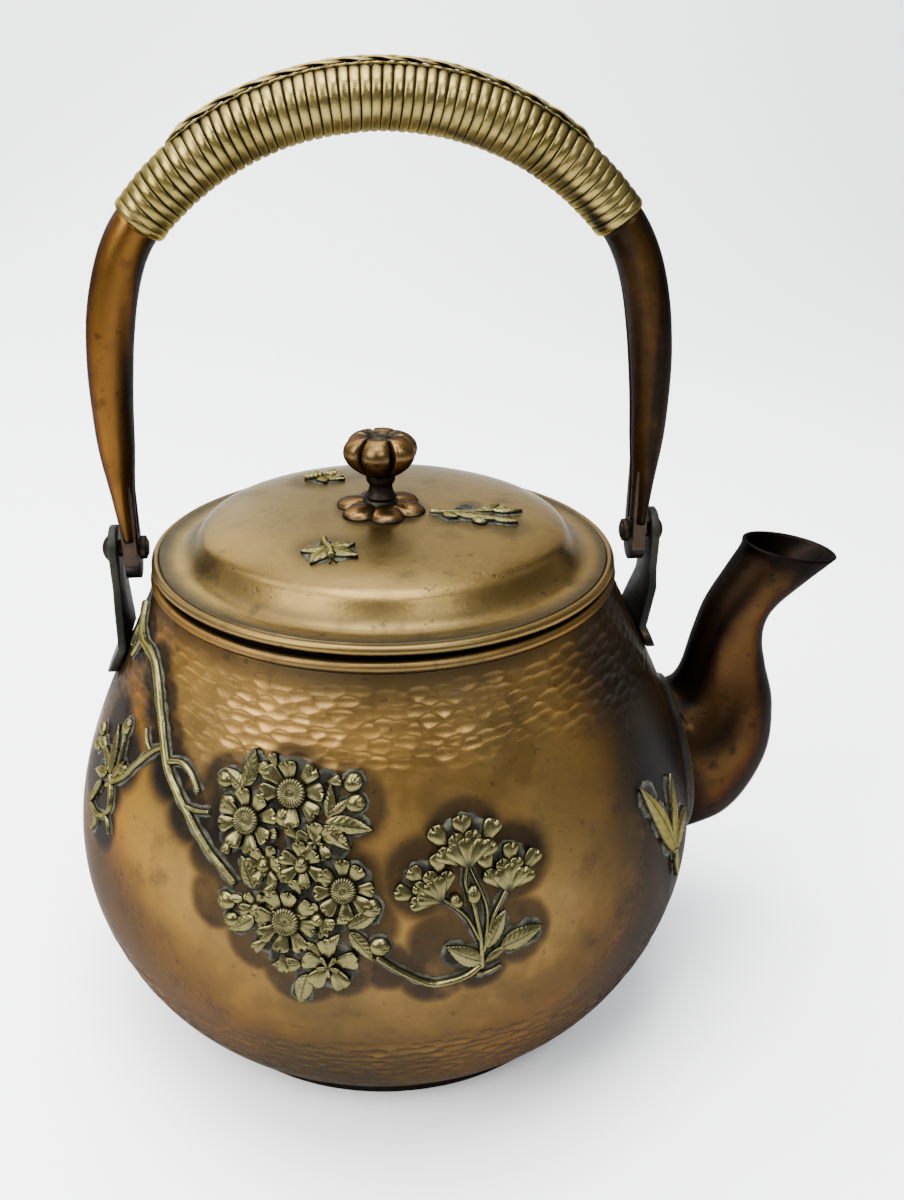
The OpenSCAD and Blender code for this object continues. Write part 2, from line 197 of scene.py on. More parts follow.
def seated(p):
    # rests the lid at one side of the mouth and tips it up at the other
    low = lid["flangeHeight"] - 2 * lid["edge"]
    side = math.radians(lid["tiltSide"])
    tilt = math.radians(-lid["tilt"])
    x = p[..., 0] * math.cos(-side) - p[..., 1] * math.sin(-side)
    y = p[..., 0] * math.sin(-side) + p[..., 1] * math.cos(-side)
    y = y - lid["radius"]
    z = p[..., 2] - low
    y, z = y * math.cos(tilt) - z * math.sin(tilt), y * math.sin(tilt) + z * math.cos(tilt)
    y = y + lid["radius"]
    z = z + low
    return np.stack([x * math.cos(side) - y * math.sin(side), x * math.sin(side) + y * math.cos(side), z], -1)


def knobbed(p):
    return seated(p + np.array([lid["knobShift"], 0, 0]))


def lidPlace(az, r, turn=0):
    turn = math.radians(turn)
    az = math.radians(az)

    def place(u, v, h):
        a = u * math.cos(turn) - v * math.sin(turn)
        b = u * math.sin(turn) + v * math.cos(turn) - r
        x = a * math.cos(az) - b * math.sin(az)
        y = a * math.sin(az) + b * math.cos(az)
        x, y, h = np.broadcast_arrays(x, y, h)
        return seated(np.stack([x, y, lidHeight(np.hypot(x, y)) + h], -1))
    return place


# mesh helpers
class Shape:
    # collects closed shells, with a value from 0 to 1 at each point for grime and painted shade
    def __init__(self):
        self.points = []
        self.faces = []
        self.grimeAndShade = []
        self.count = 0

    def add(self, points, faces, grimeAndShade):
        points = np.asarray(points, float).reshape(-1, 3)
        self.points.append(points)
        self.faces.append(np.asarray(faces, int) + self.count)
        self.grimeAndShade.append(np.broadcast_to(np.asarray(grimeAndShade, float), (len(points),)))
        self.count += len(points)


def sheetFaces(rows, columns, closeRows=False, closeColumns=False):
    i = np.arange(rows if closeRows else rows - 1)[:, None]
    j = np.arange(columns if closeColumns else columns - 1)[None, :]
    a = i * columns + j
    b = i * columns + (j + 1) % columns
    c = ((i + 1) % rows) * columns + (j + 1) % columns
    d = ((i + 1) % rows) * columns + j
    return np.stack([a, b, c, d], -1).reshape(-1, 4)


def addTube(shape, rings, grimeAndShade=0.0, loop=False, flip=False):
    # skin over rings; open ends close on a middle point
    rings = np.asarray(rings, float)
    rows, columns = rings.shape[:2]
    faces = sheetFaces(rows, columns, closeRows=loop, closeColumns=True)
    points = rings.reshape(-1, 3)
    grimeAndShade = np.broadcast_to(np.asarray(grimeAndShade, float), (rows, columns)).reshape(-1)
    if not loop:
        ends = np.array([rings[0].mean(0), rings[-1].mean(0)])
        n = len(points)
        points = np.vstack([points, ends])
        grimeAndShade = np.append(grimeAndShade, [grimeAndShade[0], grimeAndShade[-1]])
        j = np.arange(columns)
        k = (j + 1) % columns
        first = np.stack([k, j, np.full(columns, n), np.full(columns, n)], -1)
        last = np.stack([j, k, np.full(columns, n + 1), np.full(columns, n + 1)], -1)
        last[:, :2] += (rows - 1) * columns
        faces = np.vstack([faces, first, last])
    if flip:
        faces = faces[:, ::-1]
    shape.add(points, faces, grimeAndShade)


def addSlab(shape, top, bottom, grimeAndShade=0.0, around=False):
    # closed slab between two matching grids
    top = np.asarray(top, float)
    rows, columns = top.shape[:2]
    n = rows * columns
    upper = sheetFaces(rows, columns, closeColumns=around)
    lower = upper[:, ::-1] + n
    walls = []
    j = np.arange(columns if around else columns - 1)
    k = (j + 1) % columns
    if not around:
        walls.append(np.stack([k, j, j + n, k + n], -1))
        i = np.arange(rows - 1) * columns
        walls.append(np.stack([i, i + columns, i + columns + n, i + n], -1))
        i = i + columns - 1
        walls.append(np.stack([i + columns, i, i + n, i + columns + n], -1))
    last = (rows - 1) * columns
    walls.append(np.stack([j + last, k + last, k + last + n, j + last + n], -1))
    points = np.vstack([top.reshape(-1, 3), np.asarray(bottom, float).reshape(-1, 3)])
    value = np.broadcast_to(np.asarray(grimeAndShade, float), (rows, columns)).reshape(-1)
    shape.add(points, np.vstack([upper, lower] + walls), np.concatenate([value, np.ones_like(value)]))


def makePiece(name, shape, body, material, nodes=(), weld=0.0):
    mesh = bpy.data.meshes.new(name)
    points = np.vstack(shape.points) * mm
    mesh.from_pydata(points.tolist(), [], [dropTwins(f) for f in np.vstack(shape.faces).tolist()])
    layer = mesh.attributes.new("grimeAndShade", "FLOAT", "POINT")
    layer.data.foreach_set("value", np.concatenate(shape.grimeAndShade).astype(np.float32))
    if weld:
        weldPoints(mesh, weld)
    mesh.validate()
    mesh.polygons.foreach_set("use_smooth", [True] * len(mesh.polygons))
    mesh.materials.append(material)
    piece = bpy.data.objects.new(name, mesh)
    bpy.context.scene.collection.objects.link(piece)
    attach(piece, body)
    if nodes:
        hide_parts(*nodes)
    print("made", name, len(mesh.polygons), "faces")
    return piece


def dropTwins(face):
    return face[:3] if face[2] == face[3] else face


def weldPoints(mesh, distance):
    b = bmesh.new()
    b.from_mesh(mesh)
    bmesh.ops.remove_doubles(b, verts=b.verts, dist=distance * mm)
    flat = [f for f in b.faces if f.calc_area() < 1e-14]
    bmesh.ops.delete(b, geom=flat, context="FACES_ONLY")
    bmesh.ops.recalc_face_normals(b, faces=b.faces)
    b.to_mesh(mesh)
    b.free()


def lathe(line, columns, radial=None):
    # rings of a turned piece; radial(az, row) takes millimetres off the radius
    line = np.asarray(line, float)
    az = evenTurn(columns)
    r = line[:, 0][:, None] + np.zeros((1, columns))
    if radial is not None:
        r = r - radial
    return np.stack([r * np.sin(az), -r * np.cos(az), line[:, 1][:, None] + 0 * r], -1)


def rounded(line, steps=6):
    # rounds the corners of a coarse outline by repeated corner cutting
    line = np.asarray(line, float)
    for _ in range(steps):
        a = line[:-1] * 0.75 + line[1:] * 0.25
        b = line[:-1] * 0.25 + line[1:] * 0.75
        middle = np.stack([a, b], 1).reshape(-1, 2)
        line = np.vstack([line[:1], middle, line[-1:]])
    return line


# finishes
def addNode(tree, kind, place=(0, 0), **values):
    node = tree.nodes.new(kind)
    node.location = place
    for key, value in values.items():
        if hasattr(node, key):
            setattr(node, key, value)
        else:
            node.inputs[key.replace("_", " ")].default_value = value
    return node


def noise(tree, size, detail=4.0, rough=0.55):
    # size is the width of one blotch in millimetres
    source = addNode(tree, "ShaderNodeTexCoord", (-1500, 0))
    node = addNode(tree, "ShaderNodeTexNoise", (-1100, 0))
    node.inputs["Scale"].default_value = 1 / (size * mm)
    node.inputs["Detail"].default_value = detail
    node.inputs["Roughness"].default_value = rough
    tree.links.new(source.outputs["Object"], node.inputs["Vector"])
    return node.outputs["Fac"]


def ramp(tree, source, low, high, start=0.0, end=1.0):
    node = addNode(tree, "ShaderNodeMapRange", (-800, 0))
    node.interpolation_type = "SMOOTHSTEP"
    node.inputs["From Min"].default_value = low
    node.inputs["From Max"].default_value = high
    node.inputs["To Min"].default_value = start
    node.inputs["To Max"].default_value = end
    tree.links.new(source, node.inputs["Value"])
    return node.outputs["Result"]


def blendColour(tree, amount, a, b):
    node = addNode(tree, "ShaderNodeMix", (-500, 0))
    node.data_type = "RGBA"
    for socket, value in ((node.inputs[6], a), (node.inputs[7], b)):
        if isinstance(value, tuple):
            socket.default_value = (*value, 1.0)
        else:
            tree.links.new(value, socket)
    tree.links.new(amount, node.inputs[0])
    return node.outputs[2]


def combine(tree, operation, a, b):
    node = addNode(tree, "ShaderNodeMath", (-600, -200))
    node.operation = operation
    for socket, value in ((node.inputs[0], a), (node.inputs[1], b)):
        if isinstance(value, (int, float)):
            socket.default_value = value
        else:
            tree.links.new(value, socket)
    return node.outputs[0]


def agedMetal(name, look):
    # base metal, warm and dark blotches, grime and painted shade in hollows and recesses, bright worn edges
    material = bpy.data.materials.new(name)
    material.use_nodes = True
    tree = material.node_tree
    shader = tree.nodes["Principled BSDF"]
    broad = noise(tree, look["blotch"], 3.0, 0.5)
    fine = noise(tree, look["blotch"] * 0.22, 5.0, 0.65)
    speck = noise(tree, look["speck"], 2.0, 0.5)
    colour = blendColour(tree, ramp(tree, broad, 0.38, 0.62), look["base"], look["warm"])
    darkness = ramp(tree, fine, 0.52, 0.74, 0.0, look["mottle"])
    colour = blendColour(tree, darkness, colour, look["dark"])
    spots = ramp(tree, speck, 0.66, 0.74, 0.0, look["spots"])
    colour = blendColour(tree, spots, colour, look["dark"])
    geometry = addNode(tree, "ShaderNodeNewGeometry", (-1100, -400))
    edges = ramp(tree, geometry.outputs["Pointiness"], 0.515 + look["edgeSoft"],
                 0.56 + look["edgeSoft"] * 2, 0.0, look["edgeWear"])
    colour = blendColour(tree, edges, colour, look["bright"])
    # painted shade with grime: concave places, found by pointiness, are darkened
    hollowShadeAndGrime = ramp(tree, geometry.outputs["Pointiness"], 0.495, 0.47 - look["edgeSoft"], 0.0, look["hollow"])
    colour = blendColour(tree, hollowShadeAndGrime, colour, look["grimeAndShade"])
    # per-point layer: real grime plus painted shade in recesses, creases and undersides, mixed toward the
    # dark colour
    grimeShadeLayer = addNode(tree, "ShaderNodeAttribute", (-1100, -700))
    grimeShadeLayer.attribute_name = "grimeAndShade"
    broken = combine(tree, "MULTIPLY", grimeShadeLayer.outputs["Fac"], ramp(tree, fine, 0.25, 0.5, 0.84, 1.0))
    colour = blendColour(tree, broken, colour, look["grimeAndShade"])
    tree.links.new(colour, shader.inputs["Base Color"])
    shader.inputs["Metallic"].default_value = look["metallic"]
    rough = ramp(tree, fine, 0.3, 0.7, look["gloss"], look["matte"])
    rough = combine(tree, "ADD", rough, combine(tree, "MULTIPLY", broken, 0.22))
    tree.links.new(rough, shader.inputs["Roughness"])
    shader.inputs["Specular IOR Level"].default_value = 0.5
    shader.inputs["Specular Tint"].default_value = (*look["rim"], 1)
    shader.inputs["Coat Weight"].default_value = look["coat"]
    shader.inputs["Coat Roughness"].default_value = 0.32
    bump = addNode(tree, "ShaderNodeBump", (-300, -400))
    bump.inputs["Strength"].default_value = look["bump"]
    bump.inputs["Distance"].default_value = 0.3 * mm
    grain = noise(tree, look["grain"], 5.0, 0.6)
    height = combine(tree, "ADD", grain, combine(tree, "MULTIPLY", spots, -0.8))
    tree.links.new(height, bump.inputs["Height"])
    tree.links.new(bump.outputs["Normal"], shader.inputs["Normal"])
    return material


def look(base, warm, dark, grimeAndShade, bright, **changes):
    values = {
        "base": base, "warm": warm, "dark": dark, "grimeAndShade": grimeAndShade, "bright": bright,
        "blotch": 34, "speck": 2.6, "mottle": 0.55, "spots": 0.5, "edgeWear": 0.5, "edgeSoft": 0.03,
        "hollow": 0.3, "metallic": 0.96, "gloss": 0.27, "matte": 0.42, "coat": 0.05,
        "bump": 0.22, "grain": 1.6,
        "rim": (0.11, 0.10, 0.08),
    }
    values.update(changes)
    return values


finishes = {
    "bodyCopper": look((0.1244, 0.0756, 0.0226), (0.2036, 0.1133, 0.0282), (0.0470, 0.0319, 0.0147),
                       (0.0031, 0.0037, 0.0046), (0.5143, 0.2950, 0.0911), blotch=46, hollow=0.15, coat=0.06),
    "lidCopper": look((0.0900, 0.0593, 0.0180), (0.1196, 0.0723, 0.0194), (0.0366, 0.0246, 0.0098),
                      (0.0128, 0.0116, 0.0076), (0.3660, 0.2239, 0.0712), blotch=52, gloss=0.27, matte=0.38,
                      mottle=0.8, spots=0.7, coat=0.04, rim=(0.5, 0.5, 0.48)),
    "spoutCopper": look((0.0228, 0.0116, 0.0042), (0.0373, 0.0181, 0.0056), (0.0035, 0.0029, 0.0022),
                        (0.0008, 0.0009, 0.0013), (0.0778, 0.0398, 0.0162), blotch=26, mottle=0.9, coat=0.02),
    "handleCopper": look((0.0605, 0.0263, 0.0043), (0.0835, 0.0366, 0.0057), (0.0191, 0.0083, 0.0021),
                         (0.0024, 0.0019, 0.0009), (0.1419, 0.0677, 0.0141), blotch=22,
                         mottle=0.55, gloss=0.3),
    "knobCopper": look((0.0641, 0.0386, 0.0145), (0.1002, 0.0569, 0.0184), (0.0176, 0.0123, 0.0078),
                       (0.0072, 0.0102, 0.0084), (0.3203, 0.2033, 0.0778), blotch=9, gloss=0.24,
                       matte=0.38, hollow=0.3),
    "darkCopper": look((0.0126, 0.0098, 0.0068), (0.0214, 0.0147, 0.0092), (0.0050, 0.0045, 0.0036),
                       (0.0032, 0.0035, 0.0032), (0.0945, 0.0595, 0.0321), blotch=12, gloss=0.42, matte=0.6),
    "wrapBrass": look((0.1571, 0.1167, 0.0270), (0.2250, 0.1699, 0.0500), (0.0524, 0.0394, 0.0106),
                      (0.0100, 0.0090, 0.0058), (0.5024, 0.4152, 0.1927), blotch=13, gloss=0.20, matte=0.36,
                      metallic=0.95, hollow=0.75, grain=0.9,
                      rim=(0.55, 0.50, 0.36)),
    "reliefBrass": look((0.0675, 0.0596, 0.0223), (0.0967, 0.0840, 0.0324), (0.0216, 0.0196, 0.0101),
                        (0.0054, 0.0056, 0.0054), (0.2070, 0.1855, 0.1110), blotch=7, gloss=0.19, matte=0.34,
                        metallic=0.95, hollow=0.0, edgeWear=0.0,
                        grain=0.9, bump=0.08, rim=(0.45, 0.41, 0.28)),
    "solderCrust": look((0.0215, 0.0216, 0.0167), (0.0575, 0.0593, 0.0440), (0.0082, 0.0077, 0.0060),
                        (0.0069, 0.0065, 0.0052), (0.1316, 0.1307, 0.0956), blotch=3.0,
                        metallic=0.15, gloss=0.6, matte=0.8, coat=0.0, grain=0.45, bump=0.7,
                        spots=0.8, speck=1.1),
    "lugBronze": look((0.0101, 0.0106, 0.0086), (0.0190, 0.0185, 0.0134), (0.0050, 0.0050, 0.0045),
                      (0.0033, 0.0036, 0.0033), (0.1228, 0.0670, 0.0307), blotch=8, gloss=0.40, matte=0.58,
                      metallic=0.75, grain=0.8, edgeWear=0.75),
    "tangIron": look((0.0070, 0.0059, 0.0050), (0.0129, 0.0094, 0.0065), (0.0030, 0.0027, 0.0025),
                     (0.0020, 0.0019, 0.0018), (0.0694, 0.0446, 0.0273), blotch=6, gloss=0.42, matte=0.62,
                     metallic=0.8, grain=0.6),
}
metal = {name: agedMetal(name, values) for name, values in finishes.items()}
print("finishes ready")


# two bands of single hammer blows, heights in millimetres
hammering = {
    "upperTop": 119.0,
    "upperBottom": 100.5,
    "lowerTop": 38.0,
    "lowerBottom": 22.0,
    "rowStep": 2.0,    # millimetres between rows of blows
    "blowWidth": 5.7,
    "depth": 0.34,
    "seed": 11,
}


def blowRows(h):
    rng = np.random.default_rng(h["seed"])
    rows = []
    bands = ((h["upperBottom"] - 5, h["upperTop"], True), (h["lowerBottom"] - 2, h["lowerTop"] + 3, False))
    for low, high, upper in bands:
        z = low
        odd = 0
        while z < high:
            around = 2 * math.pi * float(bodyRadius(z))
            count = int(around / (h["blowWidth"] * (1.0 if upper else 0.92)))
            az = (np.arange(count) + 0.5 * odd + rng.uniform(-0.27, 0.27, count)) / count * 2 * math.pi
            zs = z + rng.uniform(-0.65, 0.65, count)
            if upper:
                edge = h["upperBottom"] + 2.6 * np.sin(2 * az + 1.0) + 1.4 * np.sin(5 * az)
                fade = smoothStep(-3.0, 2.5, zs - edge)
            else:
                edge = h["lowerTop"] + 1.6 * np.sin(3 * az) + 1.2 * np.sin(7 * az + 2)
                fade = smoothStep(-3.0, 3.0, edge - zs) * smoothStep(-2, 2, zs - h["lowerBottom"])
            depth = h["depth"] * rng.uniform(0.55, 1.2, count) * fade
            width = h["blowWidth"] * rng.uniform(0.48, 0.70, count)
            tall = h["rowStep"] * rng.uniform(0.56, 0.84, count) * (1.0 if upper else 1.2)
            rows.append((z, az, zs, depth, width, tall))
            z += h["rowStep"] * (1.0 if upper else 1.12)
            odd = 1 - odd
    return rows


def hammered(az, line, h):
    # each blow leaves a shallow oval hollow; neighbours meet in a ridge
    z = line[:, 1]
    out = np.zeros((len(z), len(az)))
    for rowHeight, blowAz, blowZ, depth, width, tall in blowRows(h):
        near = np.where(np.abs(z - rowHeight) < 4.6)[0]
        if len(near) == 0:
            continue
        order = np.argsort(blowAz)
        sortedAz = blowAz[order]
        place = np.searchsorted(sortedAz, az)
        for step in (-1, 0):
            pick = order[(place + step) % len(order)]
            gap = (az - blowAz[pick] + math.pi) % (2 * math.pi) - math.pi
            across = gap[None, :] * bodyRadius(rowHeight) / width[pick][None, :]
            along = (z[near][:, None] - blowZ[pick][None, :]) / tall[pick][None, :]
            spread = across ** 2 + along ** 2
            hollow = depth[pick][None, :] * np.clip(1 - spread, 0, 1)
            out[near] = np.maximum(out[near], hollow)
    return out


# places of the relief as [degrees round the body, height, reach], for the dark haze round it
hazeSpots = [
    (-28, 90, 9), (-21, 97, 9), (-10.6, 79, 8), (-19.5, 72, 9), (-33, 96, 6), (-10, 96, 7), (-8, 72, 7),
    (-17, 60, 8), (-24, 66, 7), (-27, 78, 7), (-15, 86, 8), (-20, 80, 8), (-11, 62, 7), (-32, 72, 6),
    (9.4, 88, 8), (16.5, 81, 8), (2.2, 81, 8), (10, 73, 8), (4, 67, 6), (17, 66, 7), (10, 61, 6), (3, 60, 7),
    (-4, 62, 5), (-82, 117, 5), (-73, 112, 5), (-62, 110, 5), (-56, 105, 5), (-51, 98.5, 5), (-47, 93.5, 5),
    (-40, 87, 5), (-34, 81, 5), (-30, 76, 5), (-62, 88, 6), (-66, 80, 8), (-64, 72, 6), (-70, 92, 6),
    (-76, 78, 6), (56, 62, 6), (53, 72, 6), (59, 72, 6), (50, 80, 5), (56, 54, 4),
]


def bodyGrimeAndShade(az, line):
    z = line[:, 1]
    x = az[None, :]
    zz = z[:, None]
    wander = ripple(zz * 0.12, x, 5, 9, 0.4, 2.0)
    total = np.zeros((len(z), len(az)))
    for spotAz, spotZ, reach in hazeSpots:
        gap = angleFrom(x, spotAz)
        far = np.hypot(gap * bodyRadius(spotZ), (zz - spotZ) * 1.05)
        total = np.maximum(total, 1 - smoothStep(reach * 0.95, reach * 1.22 + 3.2 + 2.4 * wander, far))
    total = total * 0.95
    rim = smoothStep(114.0 - 2.0 * wander, 121.0, zz) * 0.75
    foot = (1 - smoothStep(7.0, 21.0 + 5 * wander, zz)) * 0.62
    total = np.maximum(np.maximum(total, rim), foot)
    for side in (-90, 90):  # under the two lugs
        gap = angleFrom(x, side)
        far = np.hypot(gap * 68, (zz - 103) * 0.9)
        total = np.maximum(total, 0.85 * (1 - smoothStep(9, 19 + 3 * wander, far)))
    gap = angleFrom(x, 90)  # round the foot of the spout
    far = np.hypot(gap * 82 / 18.0, (zz - 57.5) / 25.0)
    total = np.maximum(total, 0.8 * (1 - smoothStep(1.0, 1.42 + 0.12 * wander, far)))
    # painted shade: the lower belly and the side toward the spout are darker all over
    under = 0.66 * (1 - smoothStep(50, 84 + 4 * wander, zz))
    gap = angleFrom(x, 72)
    spoutSideShade = 0.95 * (1 - smoothStep(0.35, 0.98, np.abs(gap) + 0.04 * wander))
    total = np.maximum(total, 1 - (1 - under) * (1 - spoutSideShade))
    return np.clip(total * (0.93 + 0.1 * wander), 0, 1)


# a column count that 4 doesn't divide keeps the worn-edge shading free of a line
bodySkin = {"columns": 902, "rows": 430, "innerRows": 60, "wobble": 0.16}


def makeBody():
    k = kettle
    s = bodySkin
    dense = bodyLine
    run = np.concatenate([[0], np.cumsum(np.hypot(*np.diff(dense, axis=0).T))])
    even = np.linspace(0, run[-1], s["rows"])
    line = np.stack([np.interp(even, run, dense[:, 0]), np.interp(even, run, dense[:, 1])], -1)
    az = evenTurn(s["columns"])
    dents = hammered(az, line, hammering)
    soft = s["wobble"] * (0.5 + 0.5 * ripple(line[:, 1][:, None] * 0.05, az[None, :], 3))
    ends = smoothStep(0, 14, even)[:, None] * smoothStep(0, 10, even[-1] - even)[:, None]
    outer = lathe(line, s["columns"], radial=dents + soft * ends + 0.01)
    inside = np.stack([np.interp(np.linspace(run[-1], 0, s["innerRows"]), run, dense[:, 0]),
                       np.interp(np.linspace(run[-1], 0, s["innerRows"]), run, dense[:, 1])], -1)
    slope = np.gradient(inside, axis=0)
    slope = slope / np.hypot(slope[:, 0], slope[:, 1])[:, None]
    inside = inside + k["sheet"] * np.stack([slope[:, 1], -slope[:, 0]], -1)
    inner = lathe(inside, s["columns"])
    flange = lathe([(k["footRadius"] - k["footWidth"], k["footHeight"] + 0.9),
                    (k["footRadius"] - k["footWidth"] + 0.3, k["footHeight"])], s["columns"])
    neckTop = lathe([(k["neckRadius"] - 0.3, k["neckHeight"] + 0.8)], s["columns"])
    rings = np.vstack([flange[1:], outer, neckTop, inner, flange[:1]])
    # painted shade on the foot and mouth edge rows and on the inside
    grimeAndShade = np.vstack([np.full((1, s["columns"]), 0.8), bodyGrimeAndShade(az, line), np.full((1, s["columns"]), 0.8),
                       np.full((s["innerRows"] + 1, s["columns"]), 0.55)])
    shape = Shape()
    addTube(shape, rings, grimeAndShade, loop=True)
    return makePiece("hammeredBody", shape, "kettle", metal["bodyCopper"], ["body_shell"])


def torus(radius, height, wire, columns=480, sides=18, uneven=0.0, seed=1):
    w = evenTurn(sides)
    az = evenTurn(columns)
    thick = wire - uneven * (0.5 + 0.5 * ripple(1.0, az, seed, 8, 0.5, 4.0))
    r = radius + thick[:, None] * np.cos(w)[None, :]
    z = height + thick[:, None] * np.sin(w)[None, :]
    return np.stack([r * np.sin(az)[:, None], -r * np.cos(az)[:, None], z], -1)


beadShape = {"mouthWire": 1.4, "uneven": 0.1}


def makeMouthBead():
    shape = Shape()
    rings = torus(kettle["neckRadius"] - 0.6, kettle["neckHeight"] + 1.7, beadShape["mouthWire"], 480, 20,
                  beadShape["uneven"], 4)
    w = evenTurn(20)
    # painted shade on the lower side of the wire
    grimeAndShade = 0.35 + 0.35 * (np.sin(w) < -0.3)[None, :] + np.zeros((480, 1))
    addTube(shape, rings, grimeAndShade, loop=True, flip=True)
    return makePiece("mouthWire", shape, "kettle", metal["bodyCopper"], ["mouth_bead"])


def makeFoot():
    k = kettle
    r = k["footRadius"]
    w = k["footWidth"]
    h = k["footHeight"]
    corner = 0.55
    line = []
    for cx, cz, start in ((r - corner, corner, -90), (r - corner, h - corner, 0),
                          (r - w + corner, h - corner, 90), (r - w + corner, corner, 180)):
        for step in range(6):
            a = math.radians(start + step * 18)
            line.append((cx + corner * math.cos(a), cz + corner * math.sin(a)))
    az = evenTurn(480)
    uneven = 0.12 * (0.5 + 0.5 * ripple(0.0, az, 8, 8, 0.5, 5.0))
    weight = np.array([1.0 if p[0] > r - w / 2 else 0.0 for p in line])[:, None]
    rings = lathe(line, 480, radial=uneven[None, :] * weight)
    shape = Shape()
    addTube(shape, rings, 0.5, loop=True)
    makePiece("footBand", shape, "kettle", metal["darkCopper"], ["foot_ring"])
    inner = r - w
    plate = [(0.02, 0.5), (20, 0.42), (40, 0.25), (inner - 4, 0.1), (inner - 1, 0.02), (inner - 0.05, 0.25),
             (inner - 0.05, k["sheet"] - 0.1), (inner - 1, k["sheet"]), (30, k["sheet"]), (0.02, k["sheet"])]
    shape = Shape()
    fineLine = []
    for a, b in zip(plate[:-1], plate[1:]):
        for t in np.linspace(0, 1, 10, endpoint=False):
            fineLine.append((between(a[0], b[0], t), between(a[1], b[1], t)))
    fineLine.append(plate[-1])
    rings = lathe(fineLine, 240)
    addTube(shape, rings, 0.35)
    makePiece("bottomPlate", shape, "kettle", metal["darkCopper"], ["base_plate"], weld=0.005)


# sizes of the spout, millimetres and degrees
spoutShape = {
    "rootHeight": 57.5,
    "rootTall": 25.0,
    "rootWide": 18.0,
    "wall": 1.3,
    "columns": 112,
    "rows": 130,
    # x, height, lean, half thickness, half width
    "sections": [
        (88.1, 61, 28, 23.7, 17.6), (93.2, 68.6, 55, 19.5, 16.2), (95.2, 77.8, 78, 15.1, 13.8),
        (94.6, 87, 93, 11.8, 11.2), (94.6, 95, 88, 10, 9.8), (96, 103, 73, 9.1, 9), (99.8, 110.5, 56, 9, 9),
        (104.5, 116.5, 60, 10.2, 9.6), (109.2, 121.8, 80, 13.2, 10.4),
    ],
}


def spoutRoot(grow, sink, columns):
    s = spoutShape
    w = evenTurn(columns)
    y = (s["rootWide"] + grow) * np.sin(w)
    z = s["rootHeight"] + (s["rootTall"] + grow) * np.cos(w)
    return np.stack([np.sqrt(bodyRadius(z) ** 2 - y * y) - sink, y, z], -1)


def spoutOval(x, z, lean, a, b, columns):
    w = evenTurn(columns)
    lean = math.radians(lean)
    out = a * np.cos(w)
    return np.stack([x - out * math.sin(lean), b * np.sin(w), z + out * math.cos(lean)], -1)


def smoothRings(rings, rows):
    # passes a smooth curve through each ring's matching points
    rings = np.asarray(rings)
    middle = rings.mean(1)
    knots = np.concatenate([[0], np.cumsum(np.linalg.norm(np.diff(middle, axis=0), axis=1))])
    slope = np.gradient(rings, knots, axis=0)
    t = np.linspace(0, knots[-1], rows)
    out = []
    for value in t:
        i = min(int(np.searchsorted(knots, value, side="right")) - 1, len(knots) - 2)
        span = knots[i + 1] - knots[i]
        k = (value - knots[i]) / span
        out.append((2 * k ** 3 - 3 * k ** 2 + 1) * rings[i] + (k ** 3 - 2 * k ** 2 + k) * span * slope[i]
                   + (-2 * k ** 3 + 3 * k ** 2) * rings[i + 1] + (k ** 3 - k ** 2) * span * slope[i + 1])
    return np.array(out), t / knots[-1]


def makeSpout():
    s = spoutShape
    n = s["columns"]

    def course(grow):
        return [spoutRoot(grow, kettle["sheet"] / 2, n)] + [
            spoutOval(x, z, lean, a + grow, b + grow, n) for x, z, lean, a, b in s["sections"]]
    outer, along = smoothRings(course(-0.05), s["rows"])
    inner, _ = smoothRings(course(-s["wall"]), s["rows"])
    w = evenTurn(n)
    middle = outer.mean(1, keepdims=True)
    inward = middle - outer
    inward = inward / np.linalg.norm(inward, axis=2, keepdims=True)
    dents = 0.22 * (0.5 + 0.5 * ripple(along[:, None] * 9, w[None, :], 21, 8, 0.5, 1.6))
    dents = dents * smoothStep(0, 0.08, along)[:, None] * smoothStep(0, 0.06, 1 - along)[:, None]
    outer = outer + inward * dents[..., None]
    lip = (outer[-1] + inner[-1]) / 2 + (outer[-1].mean(0) - outer[-3].mean(0)) * 0.25
    rings = np.vstack([outer, (outer[-1] * 0.6 + lip * 0.4)[None], lip[None], inner[::-1]])
    patch = ripple(along[:, None] * 7, w[None, :], 33, 9, 0.6, 2.4)
    # painted shade on the side facing the kettle, broken up by patina patches
    bodySideShade = 0.5 + 0.5 * np.cos(w)[None, :]
    grimeAndShade = 0.65 * smoothStep(0.0, 0.8, patch) + 0.75 * smoothStep(0.45, 0.95, bodySideShade + 0.25 * patch)
    grimeAndShade = grimeAndShade * (0.6 + 0.4 * smoothStep(0.15, 0.5, along)[:, None])
    grimeAndShade = np.maximum(grimeAndShade, 0.85 * smoothStep(0.86, 0.97, along[:, None] + 0.03 * patch))
    grimeAndShade = np.maximum(grimeAndShade, 0.8 * (1 - smoothStep(0.02, 0.12, along[:, None] + 0.03 * patch)))
    grimeAndShade = np.clip(grimeAndShade, 0, 1)
    # painted shade inside the spout; the lip rows are dark too
    grimeAndShade = np.vstack([grimeAndShade, np.full((2, n), 0.75), np.full((s["rows"], n), 0.9)])
    shape = Shape()
    addTube(shape, rings, grimeAndShade, loop=True)
    makePiece("pouringSpout", shape, "kettle", metal["spoutCopper"], ["spout"])


seamShape = {"wide": 1.5, "columns": 220}


